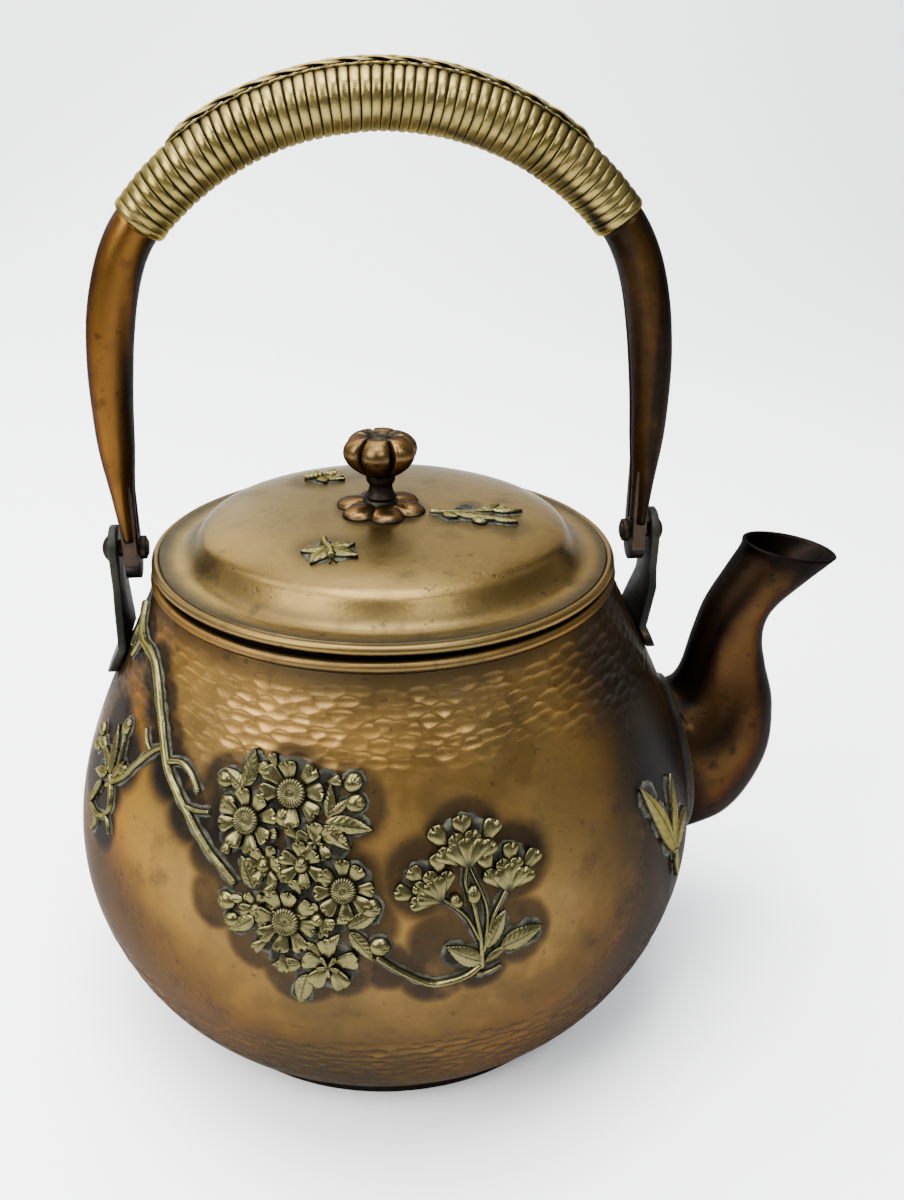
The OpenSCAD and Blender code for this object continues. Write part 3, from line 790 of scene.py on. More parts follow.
def makeSpoutSeam():
    n = seamShape["columns"]
    w = evenTurn(n)
    outer = spoutRoot(seamShape["wide"], 0.25, n)
    inner = spoutRoot(0.0, -2.1, n)
    corner = spoutRoot(0.15, 0.1, n)
    lump = ripple(0.0, w, 9, 10, 0.4, 6.0)[:, None]
    rings = []
    for step in range(9):
        t = step / 8
        p = outer * (1 - t) + inner * t
        p = p + (corner - p) * (0.42 * math.sin(math.pi * t)) * (1 + 0.25 * lump)
        rings.append(p)
    rings.append(spoutRoot(-0.25, 0.3, n))
    shape = Shape()
    rings = np.array(rings).transpose(1, 0, 2)
    addTube(shape, rings, 0.25 + 0.2 * lump, loop=True)
    makePiece("spoutSolder", shape, "kettle", metal["lugBronze"], ["spout_seam"])


# lugs, tangs, pins: the cut parts with their edges eased by hand
def eased(name, node, body, material, bevel, spread=0.0, seed=1):
    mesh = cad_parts[node].data.copy()
    mesh.name = name
    mesh.materials.clear()
    mesh.materials.append(material)
    b = bmesh.new()
    b.from_mesh(mesh)
    bmesh.ops.remove_doubles(b, verts=b.verts, dist=0.002 * mm)
    bmesh.ops.dissolve_limit(b, angle_limit=math.radians(1.0), verts=b.verts, edges=b.edges)
    b.to_mesh(mesh)
    b.free()
    rough = bpy.data.objects.new(name + "Raw", mesh)
    bpy.context.scene.collection.objects.link(rough)
    ease = rough.modifiers.new("ease", "BEVEL")
    ease.width = bevel * mm
    ease.segments = 3
    ease.limit_method = "ANGLE"
    ease.angle_limit = math.radians(32)
    tidy = rough.modifiers.new("tidy", "TRIANGULATE")
    tidy.min_vertices = 5
    bpy.context.view_layer.update()
    evaluated = rough.evaluated_get(bpy.context.evaluated_depsgraph_get())
    finished = bpy.data.meshes.new_from_object(evaluated)
    bpy.data.objects.remove(rough)
    values = grimeBand(finished, seed, spread)
    layer = finished.attributes.new("grimeAndShade", "FLOAT", "POINT")
    layer.data.foreach_set("value", values.astype(np.float32))
    finished.polygons.foreach_set("use_smooth", [True] * len(finished.polygons))
    finished.set_sharp_from_angle(angle=math.radians(38))
    piece = bpy.data.objects.new(name, finished)
    bpy.context.scene.collection.objects.link(piece)
    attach(piece, body)
    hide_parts(node)
    print("made", name)
    return piece


def grimeBand(mesh, seed, amount):
    points = np.empty(len(mesh.vertices) * 3)
    mesh.vertices.foreach_get("co", points)
    points = points.reshape(-1, 3) / mm
    rng = np.random.default_rng(seed)
    return np.clip(amount * rng.uniform(0.6, 1.0, len(points)), 0, 1)


jointPieces = [
    ("strapLeft", "lug_left", "kettle", "lugBronze", "lug_bronze", 0.45, 0.25),
    ("strapRight", "lug_right", "kettle", "lugBronze", "lug_bronze", 0.45, 0.25),
    ("rivetLeft", "pin_left", "kettle", "darkCopper", "dark_copper", 0.12, 0.1),
    ("rivetRight", "pin_right", "kettle", "darkCopper", "dark_copper", 0.12, 0.1),
    ("roveLeft", "rove_left", "kettle", "darkCopper", "dark_copper", 0.3, 0.2),
    ("roveRight", "rove_right", "kettle", "darkCopper", "dark_copper", 0.3, 0.2),
    ("tangIronLeft", "tang_left", "bail", "tangIron", "tang_iron", 0.45, 0.3),
    ("tangIronRight", "tang_right", "bail", "tangIron", "tang_iron", 0.45, 0.3),
    ("stemBurr", "knob_burr", "lid", "darkCopper", "dark_copper", 0.25, 0.3),
    ("lidSleeve", "lid_sleeve", "lid", "darkCopper", "lid_copper", 0.2, 0.3),
]


def makeJoints():
    for seed, (name, node, body, finish, slot, bevel, amount) in enumerate(jointPieces):
        eased(name, node, body, metal[finish], bevel, amount, seed)


# handle
armShape = {
    "thick": [(0, 5.4), (0.45, 5.6), (0.6, 5.35), (0.7, 4.9), (0.8, 4.4), (0.9, 3), (1, 2.1)],
    "wide": [(0, 6.6), (0.5, 6.6), (0.9, 5.8), (1, 5.6)],
    "wall": 0.9,
    "steps": 90,
    "arcSteps": 60,
    "sides": 72,
    "seamDepth": 1.0,
}


def gripThick(w):
    return 5.2 + 2 * np.cos(np.radians(w))


def gripWide(w):
    return between(7.9, 6.7, np.abs(w) / bail["gripHalf"])


def armStations():
    b = bail
    half = math.radians(b["gripHalf"])
    end = np.array([b["gripArc"] * math.sin(half), b["gripHeight"] + b["gripArc"] * math.cos(half)])
    curve = [end, end + 13 * np.array([math.cos(half), -math.sin(half)]), (b["tangX"] + 2.7, 173),
             (b["tangX"], b["armFoot"])]
    t = np.linspace(0, 1, armShape["steps"])
    p = bezier(curve, t)
    v = bezier(curve, np.minimum(t + 0.01, 1)) - bezier(curve, np.maximum(t - 0.01, 0))
    angle = np.degrees(np.arctan2(v[:, 1], v[:, 0]))
    thick = smoothLookup(t, armShape["thick"])
    wide = smoothLookup(t, armShape["wide"])
    return np.stack([p[:, 0], p[:, 1], angle, thick, wide], -1), t


def smoothLookup(t, table):
    table = np.array(table, float)
    value = np.interp(t, table[:, 0], table[:, 1])
    soft = (np.interp(t - 0.03, table[:, 0], table[:, 1]) + np.interp(t + 0.03, table[:, 0], table[:, 1])) / 2
    return np.minimum(value, (value + soft) / 2)


def makeHandleTube():
    right, t = armStations()
    left = right[::-1].copy()
    left[:, 0] *= -1
    left[:, 2] *= -1
    w = np.linspace(-bail["gripHalf"], bail["gripHalf"], armShape["arcSteps"] * 2 + 1)[1:-1]
    arc = np.stack([bail["gripArc"] * np.sin(np.radians(w)),
                    bail["gripHeight"] + bail["gripArc"] * np.cos(np.radians(w)), -w,
                    gripThick(w) - bail["strip"], gripWide(w) - bail["strip"]], -1)
    line = np.vstack([left, arc, right])
    down = np.concatenate([t[::-1], np.zeros(len(w)), t])
    n = armShape["sides"]
    turn = evenTurn(n)
    off = turn - math.pi
    groove = np.exp(-(off / 0.085) ** 2)[None, :]
    depth = armShape["seamDepth"] * smoothStep(0.03, 0.75, down)[:, None] * groove
    waves = ripple(down[:, None] * 14 + line[:, :1] * 0.02, turn[None, :], 17, 7, 0.5, 1.4)
    soft = 0.12 * (0.5 + 0.5 * waves)

    def course(grow, cut):
        lean = np.radians(line[:, 2])[:, None]
        a = line[:, 3][:, None] + grow - cut
        b = line[:, 4][:, None] + grow - cut * 0.3
        c = np.cos(turn)[None, :]
        x = line[:, 0][:, None] - a * c * np.sin(lean) + bail["shift"]
        z = line[:, 1][:, None] + a * c * np.cos(lean)
        return np.stack([x, b * np.sin(turn)[None, :], z], -1)
    outer = course(-0.02, depth + soft)
    inner = course(-armShape["wall"] - 0.15, 0 * depth)
    lipA = (outer[0] + inner[0]) / 2
    lipB = (outer[-1] + inner[-1]) / 2
    rings = np.vstack([outer, lipB[None], inner[::-1], lipA[None]])
    # painted shade on the underside of the arms, broken into patches like patina
    below = 0.5 - 0.5 * np.cos(turn)[None, :]
    patch = ripple(down[:, None] * 6 + line[:, :1] * 0.03, turn[None, :], 29, 8, 0.6, 2.2)
    dark = 0.9 * smoothStep(0.55, 0.95, below) * smoothStep(-0.8, 0.4, patch + 0.6 * (line[:, :1] > 0))
    dark = np.maximum(dark, groove * smoothStep(0.0, 0.2, down)[:, None])
    rightArm = (line[:, :1] > 0) * smoothStep(0.0, 0.7, patch)
    dark = np.maximum(dark, 0.8 * rightArm * (1 - smoothStep(0.3, 0.9, down)[:, None]))
    dark = np.maximum(dark, 0.6 * smoothStep(0.9, 1.0, down)[:, None])
    shaded = (0.74 + 0.2 * smoothStep(-0.6, 0.6, patch)) * smoothStep(30, 50, line[:, :1])
    dark = np.maximum(dark, shaded)
    # painted shade on the lips and the inside of the tube
    lip = np.full((1, n), 0.9)
    grimeAndShade = np.vstack([np.clip(dark, 0, 1), lip, np.full((len(line), n), 1.0), lip])
    shape = Shape()
    addTube(shape, rings, grimeAndShade, loop=True)
    makePiece("handleArms", shape, "bail", metal["handleCopper"], ["handle_tube"])


wrapShape = {"stepsPerTurn": 56, "crown": 0.62, "fill": 1.0, "seed": 7}


def gripPoint(w, turn, off):
    # w degrees along the grip, turn round it from the top, off from the finished surface
    arc = np.radians(w)
    a = gripThick(w)
    b = gripWide(w)
    c = np.cos(turn)
    s = np.sin(turn)
    n = np.stack([c / a, s / b], -1)
    n = n / np.linalg.norm(n, axis=-1, keepdims=True)
    out = a * c + off * n[..., 0]
    y = b * s + off * n[..., 1]
    r = bail["gripArc"] + out
    return np.stack([r * np.sin(arc) + bail["shift"], y, bail["gripHeight"] + r * np.cos(arc)], -1)


def makeWrap():
    s = wrapShape
    rng = np.random.default_rng(s["seed"])
    turns = bail["turns"] - 1
    half = bail["gripHalf"] - 0.3
    count = turns * s["stepsPerTurn"]
    phase = np.linspace(0, turns, count)
    pitch = 2 * half / (turns + 1)
    w = -half + pitch * (0.5 + phase)
    lift = -0.14 * rng.uniform(0, 1, turns + 2)
    skew = rng.uniform(-0.07, 0.07, turns + 2)
    wide = rng.uniform(0.94, 1.06, turns + 2)
    keys = np.arange(turns + 2)
    crest = np.interp(phase, keys, lift)
    w = w + pitch * np.interp(phase, keys, skew) * np.sin(phase * 2 * math.pi + 1.2)
    spread = np.interp(phase, keys, wide)
    beta = np.linspace(0, math.pi, 9)
    across = np.concatenate([np.cos(beta), [-0.96, 0.96]]) * 0.5 * s["fill"]
    height = np.concatenate([-s["crown"] + s["crown"] * np.sin(beta) ** 0.62, [-1.2, -1.2]])
    turn = phase * 2 * math.pi
    along = w[:, None] + pitch * across[None, :] * spread[:, None]
    scale = np.where(height > -1.1, 1.0, 0.0)
    off = height[None, :] + crest[:, None] * scale[None, :] - 0.01
    rings = gripPoint(along, np.broadcast_to(turn[:, None], along.shape), off)
    # painted shade under the grip, round the plait on top and in the grooves between turns, lighter on the
    # lit sides; the patches are patina
    top = 0.5 + 0.5 * np.cos(turn)
    side = np.abs(np.sin(turn))
    base = 0.8 * smoothStep(0.72, 0.97, top) + 0.88 * smoothStep(0.56, 0.93, 1 - top)
    groove = np.concatenate([1 - smoothStep(0.10, 0.62, np.sin(beta)), [1, 1]])
    grimeAndShade = np.maximum(base[:, None] * (0.75 + 0.25 * groove[None, :]), groove[None, :] * 0.95)
    patch = ripple(w[:, None] * 0.16, turn[:, None], 41, 8, 0.5, 2.0)
    grimeAndShade = grimeAndShade + 0.5 * smoothStep(0.35, 1.1, patch + 0.012 * w[:, None])
    grimeAndShade = np.clip(grimeAndShade - 0.12 * side[:, None], 0, 1)
    shape = Shape()
    addTube(shape, rings, grimeAndShade)
    # a fully dark lining under the turns: painted shade in the gaps between them
    w = np.linspace(-half, half, 90)[:, None]
    turn = evenTurn(64)[None, :]
    addTube(shape, gripPoint(w + 0 * turn, turn + 0 * w, -0.8 + 0 * w * turn), 1.0)
    for sign in (-1, 1):
        addEndBand(shape, sign)
    makePiece("gripWrapping", shape, "bail", metal["wrapBrass"], ["grip_wrap"])


def addEndBand(shape, sign):
    # last turn laid flat over the ones before it
    turn = np.linspace(0, 2 * math.pi, 97)[:-1]
    w = sign * (bail["gripHalf"] - 1.25) + 0.25 * np.sin(turn + 0.7)
    beta = np.linspace(0, math.pi, 7)
    across = np.concatenate([np.cos(beta), [-1.0, 1.0]]) * 0.88
    height = np.concatenate([-0.75 + 0.72 * np.sin(beta) ** 0.7, [-1.2, -1.2]])
    along = w[:, None] + across[None, :]
    rings = gripPoint(along, np.broadcast_to(turn[:, None], along.shape), height[None, :] + 0 * along)
    # painted shade in the grooves at the strip's edges
    groove = np.concatenate([1 - smoothStep(0.1, 0.6, np.sin(beta)), [1, 1]])
    addTube(shape, rings, np.broadcast_to(groove[None, :], along.shape) * 0.9, loop=True)


braidShape = {"half": 37.6, "reach": 1.95, "pitch": 21.0, "width": 1.15, "thick": 0.34, "top": 1.36}


def makeBraid():
    s = braidShape
    shape = Shape()
    steps = 420
    w = np.linspace(-s["half"], s["half"], steps)
    run = np.radians(w) * (bail["gripArc"] + 7)
    beta = evenTurn(14)
    endFade = smoothStep(0, 3.5, s["half"] - np.abs(w))
    for strand in range(3):
        theta = 2 * math.pi * run / s["pitch"] + strand * 2 * math.pi / 3
        y = s["reach"] * np.sin(theta) * (0.35 + 0.65 * endFade)
        lift = 0.30 * np.sin(2 * theta) * endFade
        tilt = 0.20 * np.cos(theta)
        centre = s["top"] - s["thick"] - 0.42 + lift - 0.8 * (1 - endFade)
        a = s["width"] * (0.45 + 0.55 * endFade)
        yy = y[:, None] + a[:, None] * np.cos(beta)[None, :]
        hh = centre[:, None] + s["thick"] * np.sin(beta)[None, :]
        hh = np.clip(hh + tilt[:, None] * np.cos(beta)[None, :] * 0.5, -0.5, s["top"])
        arc = np.radians(w)[:, None]
        top = gripThick(w)[:, None]
        drop = top * (1 - np.sqrt(np.clip(1 - (yy / gripWide(w)[:, None]) ** 2, 0.05, 1)))
        r = bail["gripArc"] + top + hh - 0.55 * drop
        rings = np.stack([r * np.sin(arc) + bail["shift"], yy, bail["gripHeight"] + r * np.cos(arc)], -1)
        # painted shade where each strand dips under the others and along its sides
        under = 1 - smoothStep(-0.35, 0.25, lift[:, None] + 0.3 * np.sin(beta)[None, :])
        edge = smoothStep(0.75, 1.0, np.abs(np.cos(beta)))[None, :]
        addTube(shape, rings, np.clip(0.9 * under + 0.45 * edge, 0, 1))
    rail = [gripPoint(w, np.full_like(w, side * 0.36), np.full_like(w, 0.06)) for side in (-1, 1)]
    for line in rail:
        wave = 0.22 * np.sin(run * 2.4)
        ring = []
        for i in range(steps):
            c = line[i]
            fat = 0.34 * (0.3 + 0.7 * endFade[i])
            y = c[1] + wave[i] + fat * np.cos(beta)
            ring.append(np.stack([c[0] + 0 * beta, y, c[2] + fat * np.sin(beta)], -1))
        addTube(shape, ring, 0.5)
    makePiece("gripPlait", shape, "bail", metal["wrapBrass"], ["grip_braid"])


# again a column count that 4 doesn't divide
lidSkin = {"columns": 538, "rows": 150, "wobble": 0.10}


def lidGrime(r, az):
    wander = ripple(r * 0.11, az, 51, 9, 0.4, 2.0)
    rim = 0.85 * smoothStep(52.0 + 1.2 * wander, 56.2, r)
    cove = 0.30 * smoothStep(0.0, 1.0, ripple(r * 0.2, az, 52, 9, 0.5, 2.4)) * smoothStep(44, 48, r)
    foot = 0.55 * np.exp(-((r - 49.5) / 1.6) ** 2) * (0.5 + 0.5 * wander)
    x = r * np.sin(az)
    y = -r * np.cos(az)
    knob = 0.55 * (1 - smoothStep(10.5, 14.0 + wander, np.hypot(x - lid["knobShift"], y)))
    spots = [(-15.3, -25, 7.5), (-17, 24, 7.5), (16, -8, 5), (22, -9, 6), (29, -12, 6), (22, 1, 3)]
    near = np.zeros_like(r)
    for sx, sy, reach in spots:
        far = np.hypot(x - sx, y - sy)
        near = np.maximum(near, 0.62 * (1 - smoothStep(reach * 0.7, reach * 1.35 + 1 + wander, far)))
    return np.clip(np.maximum.reduce([rim, cove, foot, knob, near]), 0, 1)


def makeLid():
    s = lidSkin
    run = np.concatenate([[0], np.cumsum(np.hypot(*np.diff(lidLine, axis=0).T))])
    even = np.linspace(0, run[-1], s["rows"])
    line = np.stack([np.interp(even, run, lidLine[:, 0]), np.interp(even, run, lidLine[:, 1])], -1)
    line[0, 0] = 0.02
    az = evenTurn(s["columns"])
    outer = lathe(line, s["columns"])
    soft = s["wobble"] * (0.5 + 0.5 * ripple(line[:, :1] * 0.09, az[None, :], 61, 8, 0.4, 1.2))
    outer[..., 2] -= soft * smoothStep(4, 14, line[:, :1]) * smoothStep(0, 8, run[-1] - even)[:, None] + 0.01
    under = line.copy()
    under[:, 1] -= lid["sheet"]
    inner = lathe(under[::-1], s["columns"])
    grimeAndShade = np.vstack([lidGrime(line[:, :1], az[None, :]), np.full((s["rows"], s["columns"]), 0.5)])
    shape = Shape()
    addTube(shape, seated(np.vstack([outer, inner])), grimeAndShade, flip=True)
    makePiece("lidDome", shape, "lid", metal["lidCopper"], ["lid_shell"], weld=0.005)
    shape = Shape()
    edge = lid["edge"]
    rings = torus(lid["radius"] - edge, lid["flangeHeight"] - edge, edge, 480, 20, 0.07, 13)
    w = evenTurn(20)
    # painted shade in the crevice where the wire meets the lid
    inside = smoothStep(0.1, 0.8, -np.cos(w)) * smoothStep(-0.5, 0.5, np.sin(w))
    addTube(shape, seated(rings), 0.15 + 0.7 * inside[None, :] + np.zeros((480, 1)), loop=True, flip=True)
    makePiece("lidWire", shape, "lid", metal["lidCopper"], ["lid_bead"])


# knob
knob = {
    "budLift": 13.4,
    "lobes": 6,
    "budTurn": 18.0,
    "rosetteTurn": 39.0,
    "budLine": [(2.9, -4.4), (4.6, -4.0), (7.2, -2.3), (9.1, -0.2), (9.75, 1.8), (9.3, 3.7), (7.8, 5.3),
                (5.8, 6.2), (4.0, 6.0), (2.9, 5.2), (2.4, 5.0), (1.9, 5.5), (1.1, 5.7), (0.02, 5.75)],
    "grooveDepth": 0.2,
    "petalOut": 7.3,
    "petalRadius": 4.3,
    "petalHeight": 2.5,
}


def makeKnob():
    k = knob
    budHeight = lid["crownHeight"] + k["budLift"]
    line = rounded(k["budLine"], 3)
    columns = 240
    az = evenTurn(columns)
    polar = az - math.pi / 2
    step = math.pi / k["lobes"]
    delta = (polar - math.radians(k["budTurn"]) + step) % (2 * step) - step
    c, rho = 0.54, 0.46
    lobe = c * np.cos(delta) + np.sqrt(rho ** 2 - (c * np.sin(delta)) ** 2)
    crease = np.exp(-((np.abs(delta) - step) / 0.07) ** 2)
    shrink = 1 - (1 - lobe) - k["grooveDepth"] * crease
    amount = np.interp(line[:, 1], [-4.4, -3.8, -2, 5.6, 6.1], [0.25, 0.7, 1, 1, 0.5])[:, None]
    amount = np.where(line[:, :1] < 3.3, amount * 0.35, amount)
    r = line[:, :1] * (1 + amount * (shrink[None, :] - 1))
    high = line[:, 1:]
    z = high - 0.5 * crease[None, :] * smoothStep(3.0, 5.0, high) * (line[:, :1] > 3.2)
    rings = np.stack([r * np.sin(az), -r * np.cos(az), z + budHeight], -1)
    # painted shade, with patina, in the lobe creases, the top dimple and on the lower part of the bud
    dimple = 0.75 * smoothStep(5.2, 3.4, line[:, :1]) * (high > 3)
    grimeAndShade = np.clip(crease[None, :] * amount + dimple + 0.55 * smoothStep(0.5, -4.2, high), 0, 1)
    shape = Shape()
    addTube(shape, knobbed(rings), grimeAndShade)
    makePiece("knobBud", shape, "lid", metal["knobCopper"], ["knob_bud"], weld=0.005)
    makeRosette()
    makeStem(budHeight)


def makeRosette():
    k = knob
    base = lid["crownHeight"] - 0.05
    columns = 300
    rows = 60
    az = evenTurn(columns)
    polar = az - math.pi / 2
    step = math.pi / k["lobes"]
    delta = (polar - math.radians(k["rosetteTurn"]) + step) % (2 * step) - step
    c, rho = k["petalOut"], k["petalRadius"]
    edge = c * np.cos(delta) + np.sqrt(rho ** 2 - (c * np.sin(delta)) ** 2)
    s = np.linspace(0.13, 1, rows)[:, None]
    r = s * edge[None, :]
    along = (r * np.cos(delta)[None, :] - 6.3) / 5.3
    across = r * np.sin(delta)[None, :] / 4.25
    spread = np.clip(along ** 2 + across ** 2, 0, 1)
    dome = k["petalHeight"] * np.sqrt(1 - spread * 0.985)
    crease = np.exp(-((np.abs(delta) - step) / 0.05) ** 2)[None, :]
    centre = 2.9 * (1 - smoothStep(3.4, 5.4, r))
    h = np.maximum(dome * (1 - 0.35 * crease * smoothStep(3.5, 6, r)), centre)
    h = np.maximum(h, 0.35)
    top = np.stack([r * np.sin(az), -r * np.cos(az), base + h], -1)
    bottom = top.copy()
    bottom[..., 2] = base + 0.02
    # painted shade, with patina, in the creases between petals, at the outer rim and round the stem
    grimeAndShade = np.clip(crease * smoothStep(3.5, 6, r) + 0.9 * smoothStep(0.93, 1.0, s) + 0.9 * (r < 4.6), 0, 1)
    shape = Shape()
    rings = knobbed(np.vstack([top, bottom[::-1]]))
    addTube(shape, rings, np.vstack([grimeAndShade, np.ones_like(grimeAndShade)]), loop=True, flip=True)
    makePiece("knobRosette", shape, "lid", metal["knobCopper"], ["knob_rosette"])


def makeStem(budHeight):
    crown = lid["crownHeight"]
    low = crown - 0.05 + 2.6 + 0.6
    outline = [(1.97, low + 0.05), (3.9, low + 0.05), (4.1, low + 0.4), (3.6, low + 1.0), (3.1, low + 1.9),
               (2.95, low + 3.0), (3.1, low + 3.8), (3.65, low + 4.2), (3.75, budHeight - 4.45)]
    smooth = rounded(outline, 3)
    foot = [(0.02, crown - 2.8), (1.7, crown - 2.8), (1.97, crown - 2.5), (1.97, low)]
    rings = lathe(np.vstack([foot, smooth, [(0.02, budHeight - 4.45)]]), 120)
    az = evenTurn(120)
    filing = 0.08 * (0.5 + 0.5 * ripple(rings[..., 2] * 0.9, az[None, :], 71, 7, 0.5, 3))
    pull = 1 - filing / np.maximum(np.hypot(rings[..., 0], rings[..., 1]), 1.5)
    rings[..., :2] *= pull[..., None]
    shape = Shape()
    addTube(shape, knobbed(rings), 0.35)
    makePiece("knobStem", shape, "lid", metal["darkCopper"], ["knob_stem"], weld=0.005)


# brass relief, soldered on
reliefDepth = 0.45  # how far each soldered piece goes into the copper
apron = Shape()
lidApron = Shape()


def addPatch(shape, place, u, v, h, grimeAndShade, around=False):
    addSlab(shape, place(u, v, h), place(u, v, np.full_like(h, -reliefDepth)), grimeAndShade, around)


def addPetal(shape, place, x, y, angle, length, width, lift=(0.9, 1.5), bulge=0.6, notch=0.16, seed=0):
    rng = np.random.default_rng(seed)
    t = np.linspace(0, 1, 13)[:, None]
    s = np.sin(np.linspace(-math.pi / 2, math.pi / 2, 13))[None, :]
    half = width / 2 * (0.32 + 0.72 * t ** 0.75) * np.sqrt(1 - t ** 7 * 0.97)
    along = length * (t - notch * np.exp(-(s / 0.24) ** 2) * t ** 5)
    across = half * s
    dome = 1 - s ** 2
    h = lift[0] - 0.2 + (lift[1] - lift[0] + 0.2) * t
    h = h + bulge * 0.62 * dome * np.sin(math.pi * (0.05 + 0.75 * t))
    h = h + 0.34 * np.abs(s) ** 3 * smoothStep(0.2, 0.8, t) - 0.30 * smoothStep(0.86, 1.0, t) * dome
    h = h - 0.16 * np.exp(-(s / 0.14) ** 2) * smoothStep(0.1, 0.9, t) - 0.30 * s ** 10
    h = h + 0.10 * rng.uniform(-1, 1) * s + 0.05 * np.sin(9 * s + rng.uniform(0, 6)) * t
    a = math.radians(angle)
    u = x + along * math.cos(a) - across * math.sin(a)
    v = y + along * math.sin(a) + across * math.cos(a)
    # painted shade, with patina, at the root, along the middle groove and at the edges
    grimeAndShade = 0.9 * (1 - smoothStep(0.0, 0.42, t)) + 0.35 * np.exp(-(s / 0.16) ** 2) * (1 - t)
    grimeAndShade = np.clip(grimeAndShade + 0.9 * smoothStep(0.965, 1.0, np.abs(s)) + 0 * h, 0, 1)
    addPatch(shape, place, u, v, h, grimeAndShade)


def addCentre(shape, place, x, y, radius, height, spokes=26):
    # stamens: fine spokes rising to a raised ring round a small pit
    around = spokes * 6
    turn = evenTurn(around)[None, :]
    s = np.linspace(0.05, 1, 16)[:, None]
    spoke = 0.5 + 0.5 * np.cos(turn * spokes)
    rise = 0.62 * smoothStep(0.1, 0.72, s) - 0.55 * smoothStep(0.82, 1.0, s)
    h = height + rise + 0.20 * (spoke - 0.5) * smoothStep(0.25, 0.6, s) + 0.22 * np.exp(-(s / 0.16) ** 2)
    r = radius * s * (1 + 0.035 * (spoke - 0.5) * s)
    u = x + r * np.cos(turn)
    v = y + r * np.sin(turn)
    # painted shade, with patina, between the stamens and in the pit
    pit = 0.55 * (1 - smoothStep(0.1, 0.45, s))
    grimeAndShade = np.clip(0.85 * (1 - spoke) * smoothStep(0.2, 0.5, s) + pit, 0, 1)
    addPatch(shape, place, u, v, h, grimeAndShade, around=True)


def addBud(shape, place, x, y, radius, angle=90, tall=1.25, height=1.9, seams=3):
    turn = evenTurn(40)[None, :]
    s = np.sin(np.linspace(0.04, math.pi / 2, 14))[:, None]
    a = math.radians(angle)
    stretch = 1 + (tall - 1) * np.cos(turn) ** 2
    r = radius * s * stretch * (1 - 0.10 * smoothStep(0.3, 1.0, np.cos(turn)))
    h = 0.25 + height * np.sqrt(np.clip(1 - (s * 0.985) ** 2, 0, 1)) * 0.9
    crease = np.zeros_like(r)
    aside = r * np.sin(turn) / radius
    ahead = r * np.cos(turn) / radius
    for k in range(seams):
        line = (k - (seams - 1) / 2) * 0.55
        seam = np.exp(-((aside - line * np.clip(ahead + 0.3, 0, 1)) / 0.08) ** 2)
        crease = np.maximum(crease, seam * smoothStep(-0.1, 0.5, ahead))
    h = h - 0.22 * crease
    u = x + r * np.cos(turn) * math.cos(a) - r * np.sin(turn) * math.sin(a)
    v = y + r * np.cos(turn) * math.sin(a) + r * np.sin(turn) * math.cos(a)
    # painted shade, with patina, in the creases and at the edge
    grimeAndShade = np.clip(0.7 * crease + 0.7 * smoothStep(0.93, 1.0, s) + 0 * h, 0, 1)
    addPatch(shape, place, u, v, h, grimeAndShade, around=True)


def addLeaf(shape, place, x, y, angle, length, width, height=0.85, bend=0.0, veins=7):
    t = np.linspace(0, 1, 44)[:, None]
    s = np.linspace(-1, 1, 17)[None, :]
    half = width / 2 * np.sin(math.pi * t ** 0.82) ** 0.85 * (1 - 0.25 * t) + 0.03
    half = half * (1 + 0.035 * np.sin(t * 70))
    along = length * t
    across = half * s + bend * length * t ** 2
    ridge = np.abs(s)
    h = height + 0.42 * (1 - ridge) * np.sin(math.pi * t) ** 0.5 - 0.12 * ridge ** 6
    h = h - 0.20 * np.exp(-(s / 0.07) ** 2) * (1 - 0.5 * t)
    rib = np.sin((t * veins - ridge * 1.3) * 2 * math.pi)
    h = h + 0.05 * rib * smoothStep(0.06, 0.3, ridge) * (1 - t * 0.4)
    h = h + 0.22 * np.sin(math.pi * t * 1.4 + 0.4) * s * 0.5
    a = math.radians(angle)
    u = x + along * math.cos(a) - across * math.sin(a)
    v = y + along * math.sin(a) + across * math.cos(a)
    # painted shade, with patina, along the midrib, in the veins and at the edges
    vein = 0.5 - 0.5 * rib
    grimeAndShade = np.clip(0.8 * np.exp(-(s / 0.09) ** 2) + 0.14 * vein + 0.7 * smoothStep(0.86, 1.0, ridge), 0, 1)
    addPatch(shape, place, u, v, h, grimeAndShade)


def addDisc(shape, place, x, y, radius, height=0.28, seed=0):
    # low crust of solder run out round a piece
    turn = evenTurn(54)[None, :]
    s = np.linspace(0.06, 1, 9)[:, None]
    edge = radius * (1 + 0.09 * ripple(0.0, turn, seed + 100, 8, 0.5, 4.0))
    r = edge * s
    lump = 0.05 * ripple(r * 1.3, turn, seed + 7, 6, 0.5, 3)
    h = height * (1 - smoothStep(0.74, 1.0, s)) + lump * (1 - s ** 4)
    u = x + r * np.cos(turn)
    v = y + r * np.sin(turn)
    # painted shade: darkest in the middle under the piece it holds, lighter toward the rim
    grimeAndShade = np.clip(0.95 - 0.9 * smoothStep(0.62, 0.9, s) + 0 * h, 0, 1)
    addPatch(shape, place, u, v, h - 0.02, grimeAndShade, around=True)


def crustUnder(crust, place, x, y, turn, length, radius, height, seed, spots=(0.3, 0.7)):
    # solder squeezed out along a leaf
    a = math.radians(turn)
    for k in spots:
        out = k * length
        addDisc(crust, place, x + out * math.cos(a), y + out * math.sin(a), radius, height, seed)


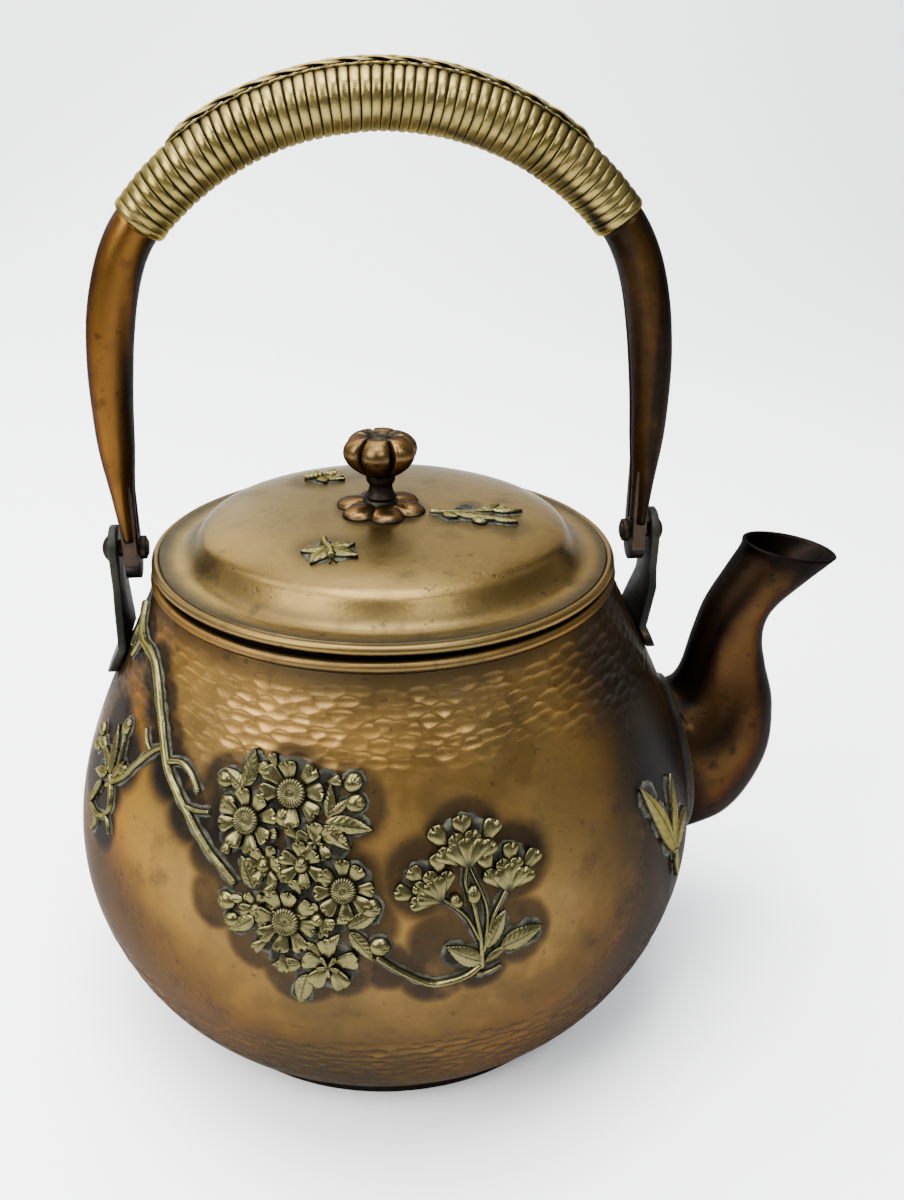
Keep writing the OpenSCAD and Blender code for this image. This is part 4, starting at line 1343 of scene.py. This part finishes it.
def addStem(shape, points, width, height=1.15, seed=0, tips=(1.0, 0.35), crust=None, surface=None, knots=0.5):
    # round stem laid along the copper through the given places
    surface = surface or stemOnBody
    p = np.array(points, float)
    knotsAt = np.linspace(0, 1, len(p))
    count = max(24, int(len(p) * 14))
    t = np.linspace(0, 1, count)
    path = np.stack([splineThrough(knotsAt, p[:, k], t) for k in (0, 1)], -1)
    rng = np.random.default_rng(seed)
    beat = rng.uniform(0, 6.28)
    uneven = 1 + 0.06 * np.sin(t * count * 0.13 + beat) + 0.04 * np.sin(t * count * 0.31)
    fat = between(tips[0], tips[1], t) * uneven
    bumps = np.zeros(count)
    for k in knotsAt[1:-1]:
        bumps += np.exp(-((t - k) * count / 2.2) ** 2)
    fat = fat * (1 + 0.14 * knots * bumps)
    beta = evenTurn(14)[None, :]
    rise = height * (0.55 + 0.45 * fat[:, None])
    closing = np.clip(np.minimum(t, 1 - t) * count / 2.0, 0.12, 1)[:, None]
    across = 0.5 * width * fat[:, None] * np.cos(beta) * closing
    h = 0.05 + rise * np.sin(beta) * closing * np.where(np.sin(beta) > 0, 1.0, 0.45)
    rings = surface(path, across, h)
    # painted shade on the underside of the stem; the knots are a little darker
    grimeAndShade = np.clip(0.85 * (1 - smoothStep(-0.1, 0.55, np.sin(beta))) + 0.1 * bumps[:, None], 0, 1)
    addTube(shape, rings, grimeAndShade + 0 * h, flip=True)
    if crust is not None:
        side = np.linspace(-1, 1, 9)[None, :]
        spread = (0.5 * width + 0.62) * (1 + 0.16 * ripple(t[:, None] * count * 0.25, side * 2, seed + 40))
        low = 0.26 * (1 - np.abs(side) ** 3) - 0.02 + 0 * spread
        top = surface(path, spread * side, low)
        bottom = surface(path, spread * side, np.full_like(low, -reliefDepth))
        # painted shade on the crust next to the stem, lighter toward its edges
        addSlab(crust, top, bottom, np.clip(0.9 - 0.9 * smoothStep(0.5, 0.8, np.abs(side)) + 0 * low, 0, 1))


def splineThrough(knots, values, t):
    slope = np.gradient(values, knots)
    i = np.clip(np.searchsorted(knots, t, side="right") - 1, 0, len(knots) - 2)
    span = knots[i + 1] - knots[i]
    k = (t - knots[i]) / span
    return ((2 * k ** 3 - 3 * k ** 2 + 1) * values[i] + (k ** 3 - 2 * k ** 2 + k) * span * slope[i]
            + (-2 * k ** 3 + 3 * k ** 2) * values[i + 1] + (k ** 3 - k ** 2) * span * slope[i + 1])


def stemOnBody(path, across, h):
    az = np.radians(path[:, 0])
    z = path[:, 1]
    r = bodyRadius(z)
    du = np.gradient(az) * r
    dv = np.gradient(z) / np.cos(bodyLean(z))
    size = np.hypot(du, dv)
    du, dv = du / size, dv / size
    zz = z[:, None] + across * du[:, None] * np.cos(bodyLean(z))[:, None]
    aa = az[:, None] - across * dv[:, None] / r[:, None]
    return onBody(aa, zz, h)


def stemOnLid(place):
    def surface(path, across, h):
        d = np.gradient(path, axis=0)
        d = d / np.linalg.norm(d, axis=1, keepdims=True)
        u = path[:, 0][:, None] - across * d[:, 1][:, None]
        v = path[:, 1][:, None] + across * d[:, 0][:, None]
        return place(u, v, h)
    return surface


blossom = {"petals": 8, "length": 0.60, "width": 0.60, "start": 0.37, "centre": 0.42, "notch": 0.30}


def addBlossom(shape, crust, place, x, y, radius, turn=0.0, lift=0.0, seed=0, skip=(), heart="stamens"):
    # a round of cupped, notched petals, every other one lapping over its neighbours
    rng = np.random.default_rng(seed)
    b = blossom
    count = b["petals"] if heart == "stamens" else 6 if heart == "bud" else 5
    for k in range(count):
        if k in skip:
            continue
        high = k % 2
        angle = turn + 360 / count * k + rng.uniform(-5, 5)
        a = math.radians(angle)
        out = radius * (b["start"] if heart == "stamens" else 0.16)
        size = radius * (b["length"] if heart == "stamens" else 0.82)
        size = size * rng.uniform(0.93, 1.05) * (0.94 if high else 1.04)
        rise = (0.95 + lift, 1.75 + lift) if high else (0.65 + lift, 1.20 + lift)
        wide = radius * b["width"] * (8 / count) ** 0.55
        notch = 0.0 if heart == "star" else b["notch"]
        addPetal(shape, place, x + out * math.cos(a), y + out * math.sin(a), angle, size, wide, rise,
                 0.60, notch, seed * 31 + k)
    if heart == "stamens":
        addCentre(shape, place, x, y, radius * b["centre"], 1.35 + lift)
    elif heart == "bud":
        addBud(shape, place, x, y, radius * 0.36, 80 + seed * 40, 1.15, 2.7 + lift)
    else:
        for k in range(5):
            addPetal(shape, place, x, y, turn + 36 + 72 * k, radius * 0.42, radius * 0.20,
                     (2.0 + lift, 1.4 + lift), 0.3, 0.0, 400 + k)
    addDisc(crust, place, x, y, radius * 0.98, 0.34, seed)


fan = [
    # petals, distance out, spread, length, width, height at root and tip
    (3, 0.50, 42, 0.46, 0.42, 0.70, 1.20),
    (4, 0.16, 64, 0.50, 0.37, 0.95, 1.50),
    (3, -0.02, 44, 0.56, 0.35, 1.20, 1.90),
]


def addFan(shape, crust, place, x, y, angle, size, seed=0):
    # a blossom seen from the side: cupped petals in rows over a stalk
    rng = np.random.default_rng(seed)
    for row, (count, out, spread, length, width, low, high) in enumerate(fan):
        for k in range(count):
            a = angle + (k / (count - 1) * 2 - 1) * spread + rng.uniform(-4, 4)
            r = out * size
            px = x + r * math.cos(math.radians(a))
            py = y + r * math.sin(math.radians(a))
            facing = angle + (a - angle) * 0.8
            addPetal(shape, place, px, py, facing, size * length * rng.uniform(0.94, 1.05), size * width,
                     (low, high), 1.05, 0.24 if row < 2 else 0.10, seed * 17 + row * 10 + k)
    crustUnder(crust, place, x, y, angle, size, size * 0.46, 0.34, seed, (0.50,))


# places are degrees round from the front and height
clusterFlowers = [
    {"at": (-24.0, 82.0), "radius": 4.6, "turn": 70, "seed": 5, "heart": "bud", "lift": -0.3},
    {"at": (-15.6, 88.4), "radius": 4.6, "turn": 20, "seed": 6, "heart": "star", "lift": -0.3},
    {"at": (-14.6, 72.6), "radius": 4.4, "turn": 50, "seed": 7, "heart": "bud", "lift": -0.4},
    {"at": (-24.6, 72.6), "radius": 4.2, "turn": 10, "seed": 8, "heart": "bud", "lift": -0.4},
    {"at": (-28.2, 90.2), "radius": 7.2, "turn": 20, "seed": 1, "lift": 0.2},
    {"at": (-20.6, 97.2), "radius": 7.8, "turn": 55, "seed": 2, "skip": (4,), "lift": 0.1},
    {"at": (-10.7, 79.2), "radius": 6.8, "turn": 8, "seed": 3, "lift": 0.1},
    {"at": (-19.6, 71.4), "radius": 7.4, "turn": 35, "seed": 4, "lift": 0.2},
    {"at": (-17.6, 83.6), "radius": 5.2, "turn": 100, "seed": 9, "heart": "bud", "lift": 0.2},
    {"at": (-12.8, 62.6), "radius": 6.4, "turn": 90, "seed": 10, "heart": "star", "lift": 0.1},
]
# degrees, height, radius, turn
clusterBuds = [
    (-21.6, 92.4, 2.0, 80), (-34.0, 96.8, 1.9, 170), (-32.4, 92.6, 1.8, 190), (-30.0, 72.8, 2.1, 165),
    (-28.8, 69.0, 1.8, 195), (-26.4, 101.0, 1.6, 85), (-9.6, 100.4, 2.1, 50), (-9.0, 96.4, 2.1, 15),
    (-5.0, 67.2, 2.1, -5), (-6.4, 75.6, 2.2, -10),
]
# degrees, height, turn, length, width
clusterLeaves = [
    (-29.4, 96.6, 82, 8.6, 4.3), (-29.6, 96.2, 152, 6.4, 3.8), (-13.6, 93.2, 88, 7.6, 2.9),
    (-14.2, 92.4, -3, 10.4, 4.4), (-14.4, 91.8, -42, 7.8, 3.8), (-12.9, 94.0, 52, 5.0, 2.2),
    (-9.8, 71.5, 28, 7.8, 4.0), (-9.6, 70.4, -48, 8.2, 3.9), (-16.0, 60.0, -105, 8.4, 4.6),
    (-17.0, 62.2, 195, 7.0, 3.6), (-25.2, 77.0, 118, 7.6, 4.4), (-24.8, 71.0, 222, 7.4, 4.0),
    (-27.0, 74.0, 186, 4.6, 2.2), (-20.4, 79.4, 100, 5.6, 2.9), (-14.9, 88.3, 128, 5.0, 2.4),
    (-24.6, 84.0, -70, 4.8, 2.6), (-16.4, 67.4, -40, 4.6, 2.6), (-13.0, 66.2, 60, 4.8, 2.6),
]
# degrees, height, facing, length, width of single petals tucked between the flowers
loosePetals = [
    (-15.2, 82.6, -35, 4.0, 3.2), (-18.6, 88.4, 140, 3.6, 2.8), (-15.0, 89.2, 50, 3.6, 2.6),
    (-17.6, 77.2, 120, 3.8, 3.0), (-21.6, 79.4, -120, 3.8, 3.0), (-23.2, 81.4, 60, 3.6, 2.8),
    (-14.4, 73.6, -60, 3.8, 3.0), (-12.2, 72.0, 30, 3.6, 2.8), (-20.0, 63.8, -80, 4.2, 3.2),
    (-22.6, 66.2, -140, 3.8, 3.0), (-25.0, 88.4, 10, 3.6, 2.8), (-24.2, 101.2, 110, 3.6, 2.8),
    (-12.0, 87.6, 60, 3.2, 2.4), (-30.8, 85.8, -100, 3.6, 2.8), (-14.6, 99.8, 20, 3.6, 2.8),
]


def makeCluster():
    shape = Shape()
    for f in clusterFlowers:
        addBlossom(shape, apron, bodyPlace(*f["at"]), 0, 0, f["radius"], f["turn"], f["lift"], f["seed"],
                   f.get("skip", ()), f.get("heart", "stamens"))
    for i, (az, z, r, turn) in enumerate(clusterBuds):
        place = bodyPlace(az, z)
        addBud(shape, place, 0, 0, r, turn, 1.2, 1.9)
        addDisc(apron, place, 0, 0, r * 1.35, 0.3, i + 20)
    for i, (az, z, turn, length, width) in enumerate(clusterLeaves):
        place = bodyPlace(az, z)
        addLeaf(shape, place, 0, 0, turn, length, width, 0.85 + 0.1 * (i % 3), 0.06 * (-1) ** i)
        crustUnder(apron, place, 0, 0, turn, length, width * 0.6, 0.3, i + 50, (0.3, 0.68))
    for i, (az, z, turn, length, width) in enumerate(loosePetals):
        place = bodyPlace(az, z)
        addPetal(shape, place, 0, 0, turn, length, width, (0.7, 1.3), 0.7, 0.2, 300 + i)
        addDisc(apron, place, 0, 0, length * 0.9, 0.3, i + 80)
    makePiece("blossomCluster", shape, "kettle", metal["reliefBrass"], ["blossom_cluster"])


def makeSpray():
    shape = Shape()
    heads = [(9.3, 82.6, 92, 12.0, 11), (15.4, 76.0, 80, 11.0, 12), (4.6, 76.4, 128, 10.6, 13)]
    for az, z, turn, radius, seed in heads:
        addFan(shape, apron, bodyPlace(az, z), 0, 0, turn, radius, seed)
    for az, z, r, turn in ((9.8, 76.6, 1.7, 88), (6.9, 75.8, 1.4, 130)):
        addBud(shape, bodyPlace(az, z), 0, 0, r, turn, 1.35, 1.8)
    stems = [
        ([(10.3, 59.2), (10.4, 66), (9.9, 72), (9.6, 75.6)], 1.5),
        ([(10.5, 63), (12.2, 70), (15.4, 76.5)], 1.2),
        ([(10.3, 66), (8.4, 72), (6.0, 75.4), (3.4, 78.0)], 1.1),
        ([(10.0, 72.5), (8.6, 79), (9.2, 83.2)], 1.1),
        ([(11.2, 66.5), (11.6, 74), (9.4, 83.0)], 0.9),
    ]
    for i, (points, width) in enumerate(stems):
        addStem(shape, points, width, 1.2, i + 60, (1.0, 0.8), apron, knots=0.2)
    leaves = [(10.6, 61.4, 158, 9.4, 5.0, -0.16), (10.9, 61.2, 28, 6.0, 2.2, 0.0),
              (13.4, 63.8, 10, 10.6, 5.2, 0.05), (11.3, 64.4, 62, 9.0, 4.4, -0.05)]
    for i, (az, z, turn, length, width, bend) in enumerate(leaves):
        place = bodyPlace(az, z)
        addLeaf(shape, place, 0, 0, turn, length, width, 0.95, bend, 8)
        crustUnder(apron, place, 0, 0, turn, length, width * 0.66, 0.28, i + 140)
    twig = [(-5.8, 65.2), (-3.0, 62.2), (0.0, 59.4), (2.6, 57.6), (5.6, 57.6), (8.2, 58.6), (10.3, 60.6)]
    addStem(shape, twig, 1.5, 1.3, 90, (1.0, 1.0), apron)
    addStem(shape, [(9.4, 58.2), (11.4, 58.2), (13.6, 59.2)], 1.4, 1.0, 91, (0.8, 0.5), apron)
    makePiece("blossomSpray", shape, "kettle", metal["reliefBrass"], ["blossom_spray"])


def makeBranch():
    shape = Shape()
    main = [(-83, 117.2), (-78, 114), (-72.5, 112), (-67, 112), (-62.6, 111), (-58.6, 108), (-55.9, 105),
            (-53, 101.6), (-50.6, 98.2), (-47.4, 93.6), (-43.6, 90.2), (-40, 87), (-37, 84), (-34.6, 81.8),
            (-31.4, 79.2), (-28.6, 76.6)]
    addStem(shape, main, 2.5, 1.45, 1, (1.15, 0.72), apron)
    addStem(shape, [(-48, 95.2), (-44.6, 96.4), (-41.6, 95.2), (-38.8, 92.2)], 1.7, 1.2, 2, (1.0, 0.8), apron)
    addStem(shape, [(-41.6, 88.4), (-38.6, 88.6), (-35.8, 89.4)], 1.5, 1.1, 3, (1.0, 0.7), apron)
    addStem(shape, [(-50.2, 97.6), (-53.2, 95.0), (-56.6, 90.4), (-59.8, 85.4), (-62.2, 83.0)], 1.9, 1.3, 4,
            (0.8, 1.0), apron)
    addStem(shape, [(-53.6, 94.6), (-55.6, 95.8), (-57.4, 98.4)], 1.4, 1.0, 5, (1.0, 0.6), apron)
    addStem(shape, [(-79, 114.4), (-80.5, 110.2), (-80.0, 106.4)], 1.4, 1.0, 6, (1.0, 0.5), apron)
    addStem(shape, [(-74, 112.4), (-75.2, 108.6), (-76.4, 105.8)], 1.3, 1.0, 7, (1.0, 0.5), apron)
    makePiece("blossomBranch", shape, "kettle", metal["reliefBrass"], ["branch"])


def makeSprigs():
    shape = Shape()
    leaves = [(-64.4, 83.0, 108, 12.0, 3.6, 0.0), (-65.2, 83.2, 148, 7.4, 2.6, 0.04),
              (-63.2, 83.2, 62, 7.0, 2.8, -0.05), (-65.8, 82.2, 196, 8.2, 3.2, 0.12),
              (-67.0, 79.6, 232, 9.4, 2.6, 0.2)]
    for i, (az, z, turn, length, width, bend) in enumerate(leaves):
        place = bodyPlace(az, z)
        addLeaf(shape, place, 0, 0, turn, length, width, 0.9, bend, 6)
        crustUnder(apron, place, 0, 0, turn, length, width * 0.8, 0.26, i + 170)
    stems = [
        ([(-64.6, 83.2), (-62.6, 80.4), (-61.4, 77.0), (-62.8, 73.8), (-66.4, 71.6), (-70.6, 71.6)],
         1.5, (1.1, 0.9)),
        ([(-62.2, 83.0), (-63.4, 81.4), (-64.8, 80.0)], 1.6, (1.0, 1.0)),
        ([(-66.4, 71.6), (-66.2, 68.8), (-67.8, 66.0)], 1.3, (1.0, 0.4)),
        ([(-63.0, 74.4), (-60.8, 73.2), (-59.6, 71.0)], 1.2, (1.0, 0.5)),
        ([(-68.2, 84.6), (-71.6, 86.4), (-74.6, 85.8)], 1.3, (1.0, 0.9)),
        ([(-62.0, 86.6), (-62.8, 90.8), (-63.6, 93.2)], 0.9, (1.0, 0.8)),
    ]
    for i, (points, width, tips) in enumerate(stems):
        addStem(shape, points, width, 1.15, 110 + i, tips, apron)
    buds = [(-64.2, 95.0, 1.6, 82), (-75.2, 83.4, 1.6, 200), (-75.4, 87.4, 1.4, 150), (-60.2, 86.6, 1.3, 60),
            (-72.2, 86.0, 1.2, 120)]
    for az, z, r, turn in buds:
        addBud(shape, bodyPlace(az, z), 0, 0, r, turn, 1.5, 1.4)
        addDisc(apron, bodyPlace(az, z), 0, 0, r * 1.7, 0.24, int(z))
    makePiece("leftSprig", shape, "kettle", metal["reliefBrass"], ["sprig_left"])
    shape = Shape()
    place = bodyPlace(55.6, 60.0)
    leaves = [(112, 25.0, 6.8, 0.04), (74, 19.0, 5.6, -0.03), (30, 13.0, 4.4, -0.06), (-86, 8.0, 2.0, 0.0)]
    for i, (turn, length, width, bend) in enumerate(leaves):
        addLeaf(shape, place, 0, 0, turn, length, width, 0.9 + 0.1 * i, bend, 8)
        crustUnder(apron, place, 0, 0, turn, length, width * 0.66, 0.26, i + 200, (0.2, 0.5, 0.8))
    addStem(shape, [(56.4, 53.0), (56.2, 57.0), (55.6, 61.0)], 1.6, 1.3, 130, (0.6, 1.1), apron)
    makePiece("spoutSprig", shape, "kettle", metal["reliefBrass"], ["sprig_spout"])


def addInsect(shape, place, size, seed):
    # two pairs of veined wings on a ringed body with bent legs
    t = np.linspace(-4.6, 5.4, 9)
    body = np.stack([t * size, 0.3 * np.sin(t * 0.7)], -1)
    addStem(shape, body, 2.3 * size, 1.7, seed, (0.7, 1.0), surface=stemOnLid(place), knots=0.9)
    wings = ((38, 8.6, 5.4, 0.10), (88, 6.6, 4.8, 0.10), (-34, 8.2, 5.2, -0.10), (-84, 6.4, 4.4, -0.10))
    for angle, length, width, bend in wings:
        addLeaf(shape, place, 0.4 * size, 0, angle, length * size, width * size, 0.75, bend, 4)
        a = math.radians(angle)
        addDisc(lidApron, place, 0.45 * length * size * math.cos(a), 0.45 * length * size * math.sin(a),
                width * size * 0.72, 0.24, seed + int(angle) + 200)
    for k, turn in enumerate((20, -22)):
        a = math.radians(turn)
        leg = [(4.6 * size, 0), ((5.4 + 1.6 * math.cos(a)) * size, 1.7 * math.sin(a) * size),
               (7.6 * size, 2.6 * math.sin(a) * size)]
        addStem(shape, leg, 0.55, 0.6, seed + k, (1.0, 0.7), surface=stemOnLid(place), knots=0)
    addDisc(lidApron, place, -2.5 * size, 0, 2.2 * size, 0.24, seed)
    addDisc(lidApron, place, 3.2 * size, 0, 2.2 * size, 0.24, seed + 1)


def makeLidRelief():
    shape = Shape()
    addInsect(shape, lidPlace(-31, 29, -50), 1.0, 5)
    makePiece("insectFront", shape, "lid", metal["reliefBrass"], ["lid_insect_front"])
    shape = Shape()
    addInsect(shape, lidPlace(-147, 30, 160), 0.9, 9)
    makePiece("insectBack", shape, "lid", metal["reliefBrass"], ["lid_insect_back"])
    shape = Shape()
    place = lidPlace(70, 15, -78)
    stem = stemOnLid(place)
    twig = [(-3.2, 0.4), (0, 0), (5, 0.6), (10, 2.2), (15, 3.6)]
    addStem(shape, twig, 1.2, 1.0, 21, (1.1, 0.7), lidApron, stem)
    addStem(shape, [(4, 0.4), (8, -2.0), (12, -3.2)], 1.0, 0.9, 22, (1.0, 0.7), lidApron, stem)
    leaves = [(2.4, -0.4, -14, 14.5, 4.4), (12.6, 2.4, 16, 8.0, 3.4), (10.0, 3.0, 40, 6.0, 2.8),
              (12.5, -3.0, -8, 6.6, 3.0), (0.6, -0.6, -46, 4.6, 3.6)]
    for i, (x, y, turn, length, width) in enumerate(leaves):
        addLeaf(shape, place, x, y, turn, length, width, 0.9, 0.03 * (-1) ** i, 7)
        crustUnder(lidApron, place, x, y, turn, length, width * 0.7, 0.24, i + 240)
    addBud(shape, place, 15.5, 4.6, 1.3, 20, 1.6, 1.2)
    addBud(shape, place, 9.6, -4.6, 1.5, -20, 1.4, 1.2)
    addDisc(lidApron, place, 6.0, 4.6, 2.4, 0.5, 260)
    addDisc(lidApron, place, 4.4, 3.2, 1.8, 0.5, 261)
    makePiece("lidSprig", shape, "lid", metal["reliefBrass"], ["lid_sprig"])
    makePiece("lidSolder", lidApron, "lid", metal["solderCrust"])


makeBody()
makeMouthBead()
makeFoot()
print("body ready")
makeSpout()
makeSpoutSeam()
print("spout ready")
makeJoints()
makeHandleTube()
makeWrap()
makeBraid()
print("handle ready")
makeLid()
makeKnob()
print("lid ready")
makeCluster()
makeSpray()
makeBranch()
makeSprigs()
makePiece("bodySolder", apron, "kettle", metal["solderCrust"])
makeLidRelief()
print("relief ready")


# studio
studio = {
    "floor": (0.96, 0.965, 0.975),
    "world": (0.92, 0.95, 1.0),
    "worldFront": 0.45,   # brightness of the room in front of the kettle
    "worldBack": 1.9,     # and behind it
    # place in metres, size, power, colour
    "lamps": [
        ((-0.55, -0.40, 0.70), (0.50, 0.60), 16.0, (1.0, 0.99, 0.97)),
        ((0.30, -0.60, 0.80), (0.35, 0.35), 6.0, (0.96, 0.98, 1.0)),
        ((-0.45, 0.70, 0.55), (0.8, 0.5), 7.0, (0.95, 0.97, 1.0)),
        ((0.0, -0.05, 0.95), (0.5, 0.5), 16.0, (1.0, 1.0, 1.0)),
        ((-0.25, 0.40, 1.3), (1.4, 0.8), 34.0, (0.97, 0.98, 1.0)),
    ],
}


def makeStudio():
    s = studio
    mesh = bpy.data.meshes.new("floorSheet")
    depth, bend, high, wide = 0.75, 0.35, 1.2, 2.4
    line = [(-1.8, 0.0)] + [(depth + bend * math.sin(a), bend * (1 - math.cos(a)))
                            for a in np.linspace(0, math.pi / 2, 16)] + [(depth + bend, high)]
    points = [(x, y, z - 0.0002) for y, z in line for x in (-wide, wide)]
    faces = [(2 * i, 2 * i + 1, 2 * i + 3, 2 * i + 2) for i in range(len(line) - 1)]
    mesh.from_pydata(points, [], faces)
    mesh.polygons.foreach_set("use_smooth", [True] * len(mesh.polygons))
    floor = bpy.data.objects.new("floorSheet", mesh)
    bpy.context.scene.collection.objects.link(floor)
    paper = bpy.data.materials.new("paper")
    paper.use_nodes = True
    shader = paper.node_tree.nodes["Principled BSDF"]
    shader.inputs["Base Color"].default_value = (*s["floor"], 1)
    shader.inputs["Roughness"].default_value = 0.75
    mesh.materials.append(paper)
    floor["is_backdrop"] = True
    world = bpy.data.worlds.new("softRoom")
    world.use_nodes = True
    back = world.node_tree.nodes["Background"]
    back.inputs["Color"].default_value = (*s["world"], 1)
    tree = world.node_tree
    toward = addNode(tree, "ShaderNodeTexCoord")
    split = addNode(tree, "ShaderNodeSeparateXYZ")
    tree.links.new(toward.outputs["Generated"], split.inputs[0])
    high = combine(tree, "ADD", split.outputs["Y"], combine(tree, "MULTIPLY", split.outputs["Z"], 0.6))
    high = combine(tree, "ADD", high, combine(tree, "MULTIPLY", split.outputs["X"], -0.7))
    tree.links.new(ramp(tree, high, -0.4, 1.0, s["worldFront"], s["worldBack"]), back.inputs["Strength"])
    bpy.context.scene.world = world
    for i, (place, size, power, colour) in enumerate(s["lamps"]):
        data = bpy.data.lights.new("softbox%d" % i, "AREA")
        data.shape = "RECTANGLE"
        data.size, data.size_y = size
        data.energy = power
        data.color = colour
        lamp = bpy.data.objects.new("softbox%d" % i, data)
        lamp.location = place
        aim = np.array([0.0, 0.0, 0.09]) - np.array(place)
        lamp.rotation_euler = aimAt(aim)
        bpy.context.scene.collection.objects.link(lamp)


def aimAt(direction):
    return Vector(direction).to_track_quat("-Z", "Y").to_euler()


viewpoint = {
    "place": (-15.4, -273.6, 242.8),
    "right": (0.9933, -0.1152, 0.0089),
    "up": (0.0421, 0.4320, 0.9009),
    "lens": 34.506,
}


def makeCamera():
    v = viewpoint
    right = np.array(v["right"])
    right = right / np.linalg.norm(right)
    up = np.array(v["up"])
    up = up - right * (up @ right)
    up = up / np.linalg.norm(up)
    back = np.cross(right, up)
    data = bpy.data.cameras.new("camera")
    data.lens = v["lens"]
    data.sensor_width = 36
    data.clip_start = 0.01
    camera = bpy.data.objects.new("camera", data)
    place = [value * mm for value in v["place"]]
    rows = [[right[i], up[i], back[i], place[i]] for i in range(3)] + [[0, 0, 0, 1]]
    camera.matrix_world = Matrix(rows)
    bpy.context.scene.collection.objects.link(camera)
    bpy.context.scene.camera = camera


makeStudio()
makeCamera()
print("studio ready")


def plain(value):
    if isinstance(value, dict):
        return {key: plain(v) for key, v in value.items()}
    if hasattr(value, "__len__"):
        return [plain(v) for v in value]
    return float(value)


{"cad": plain(cadBounds), "visual": plain(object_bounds())}
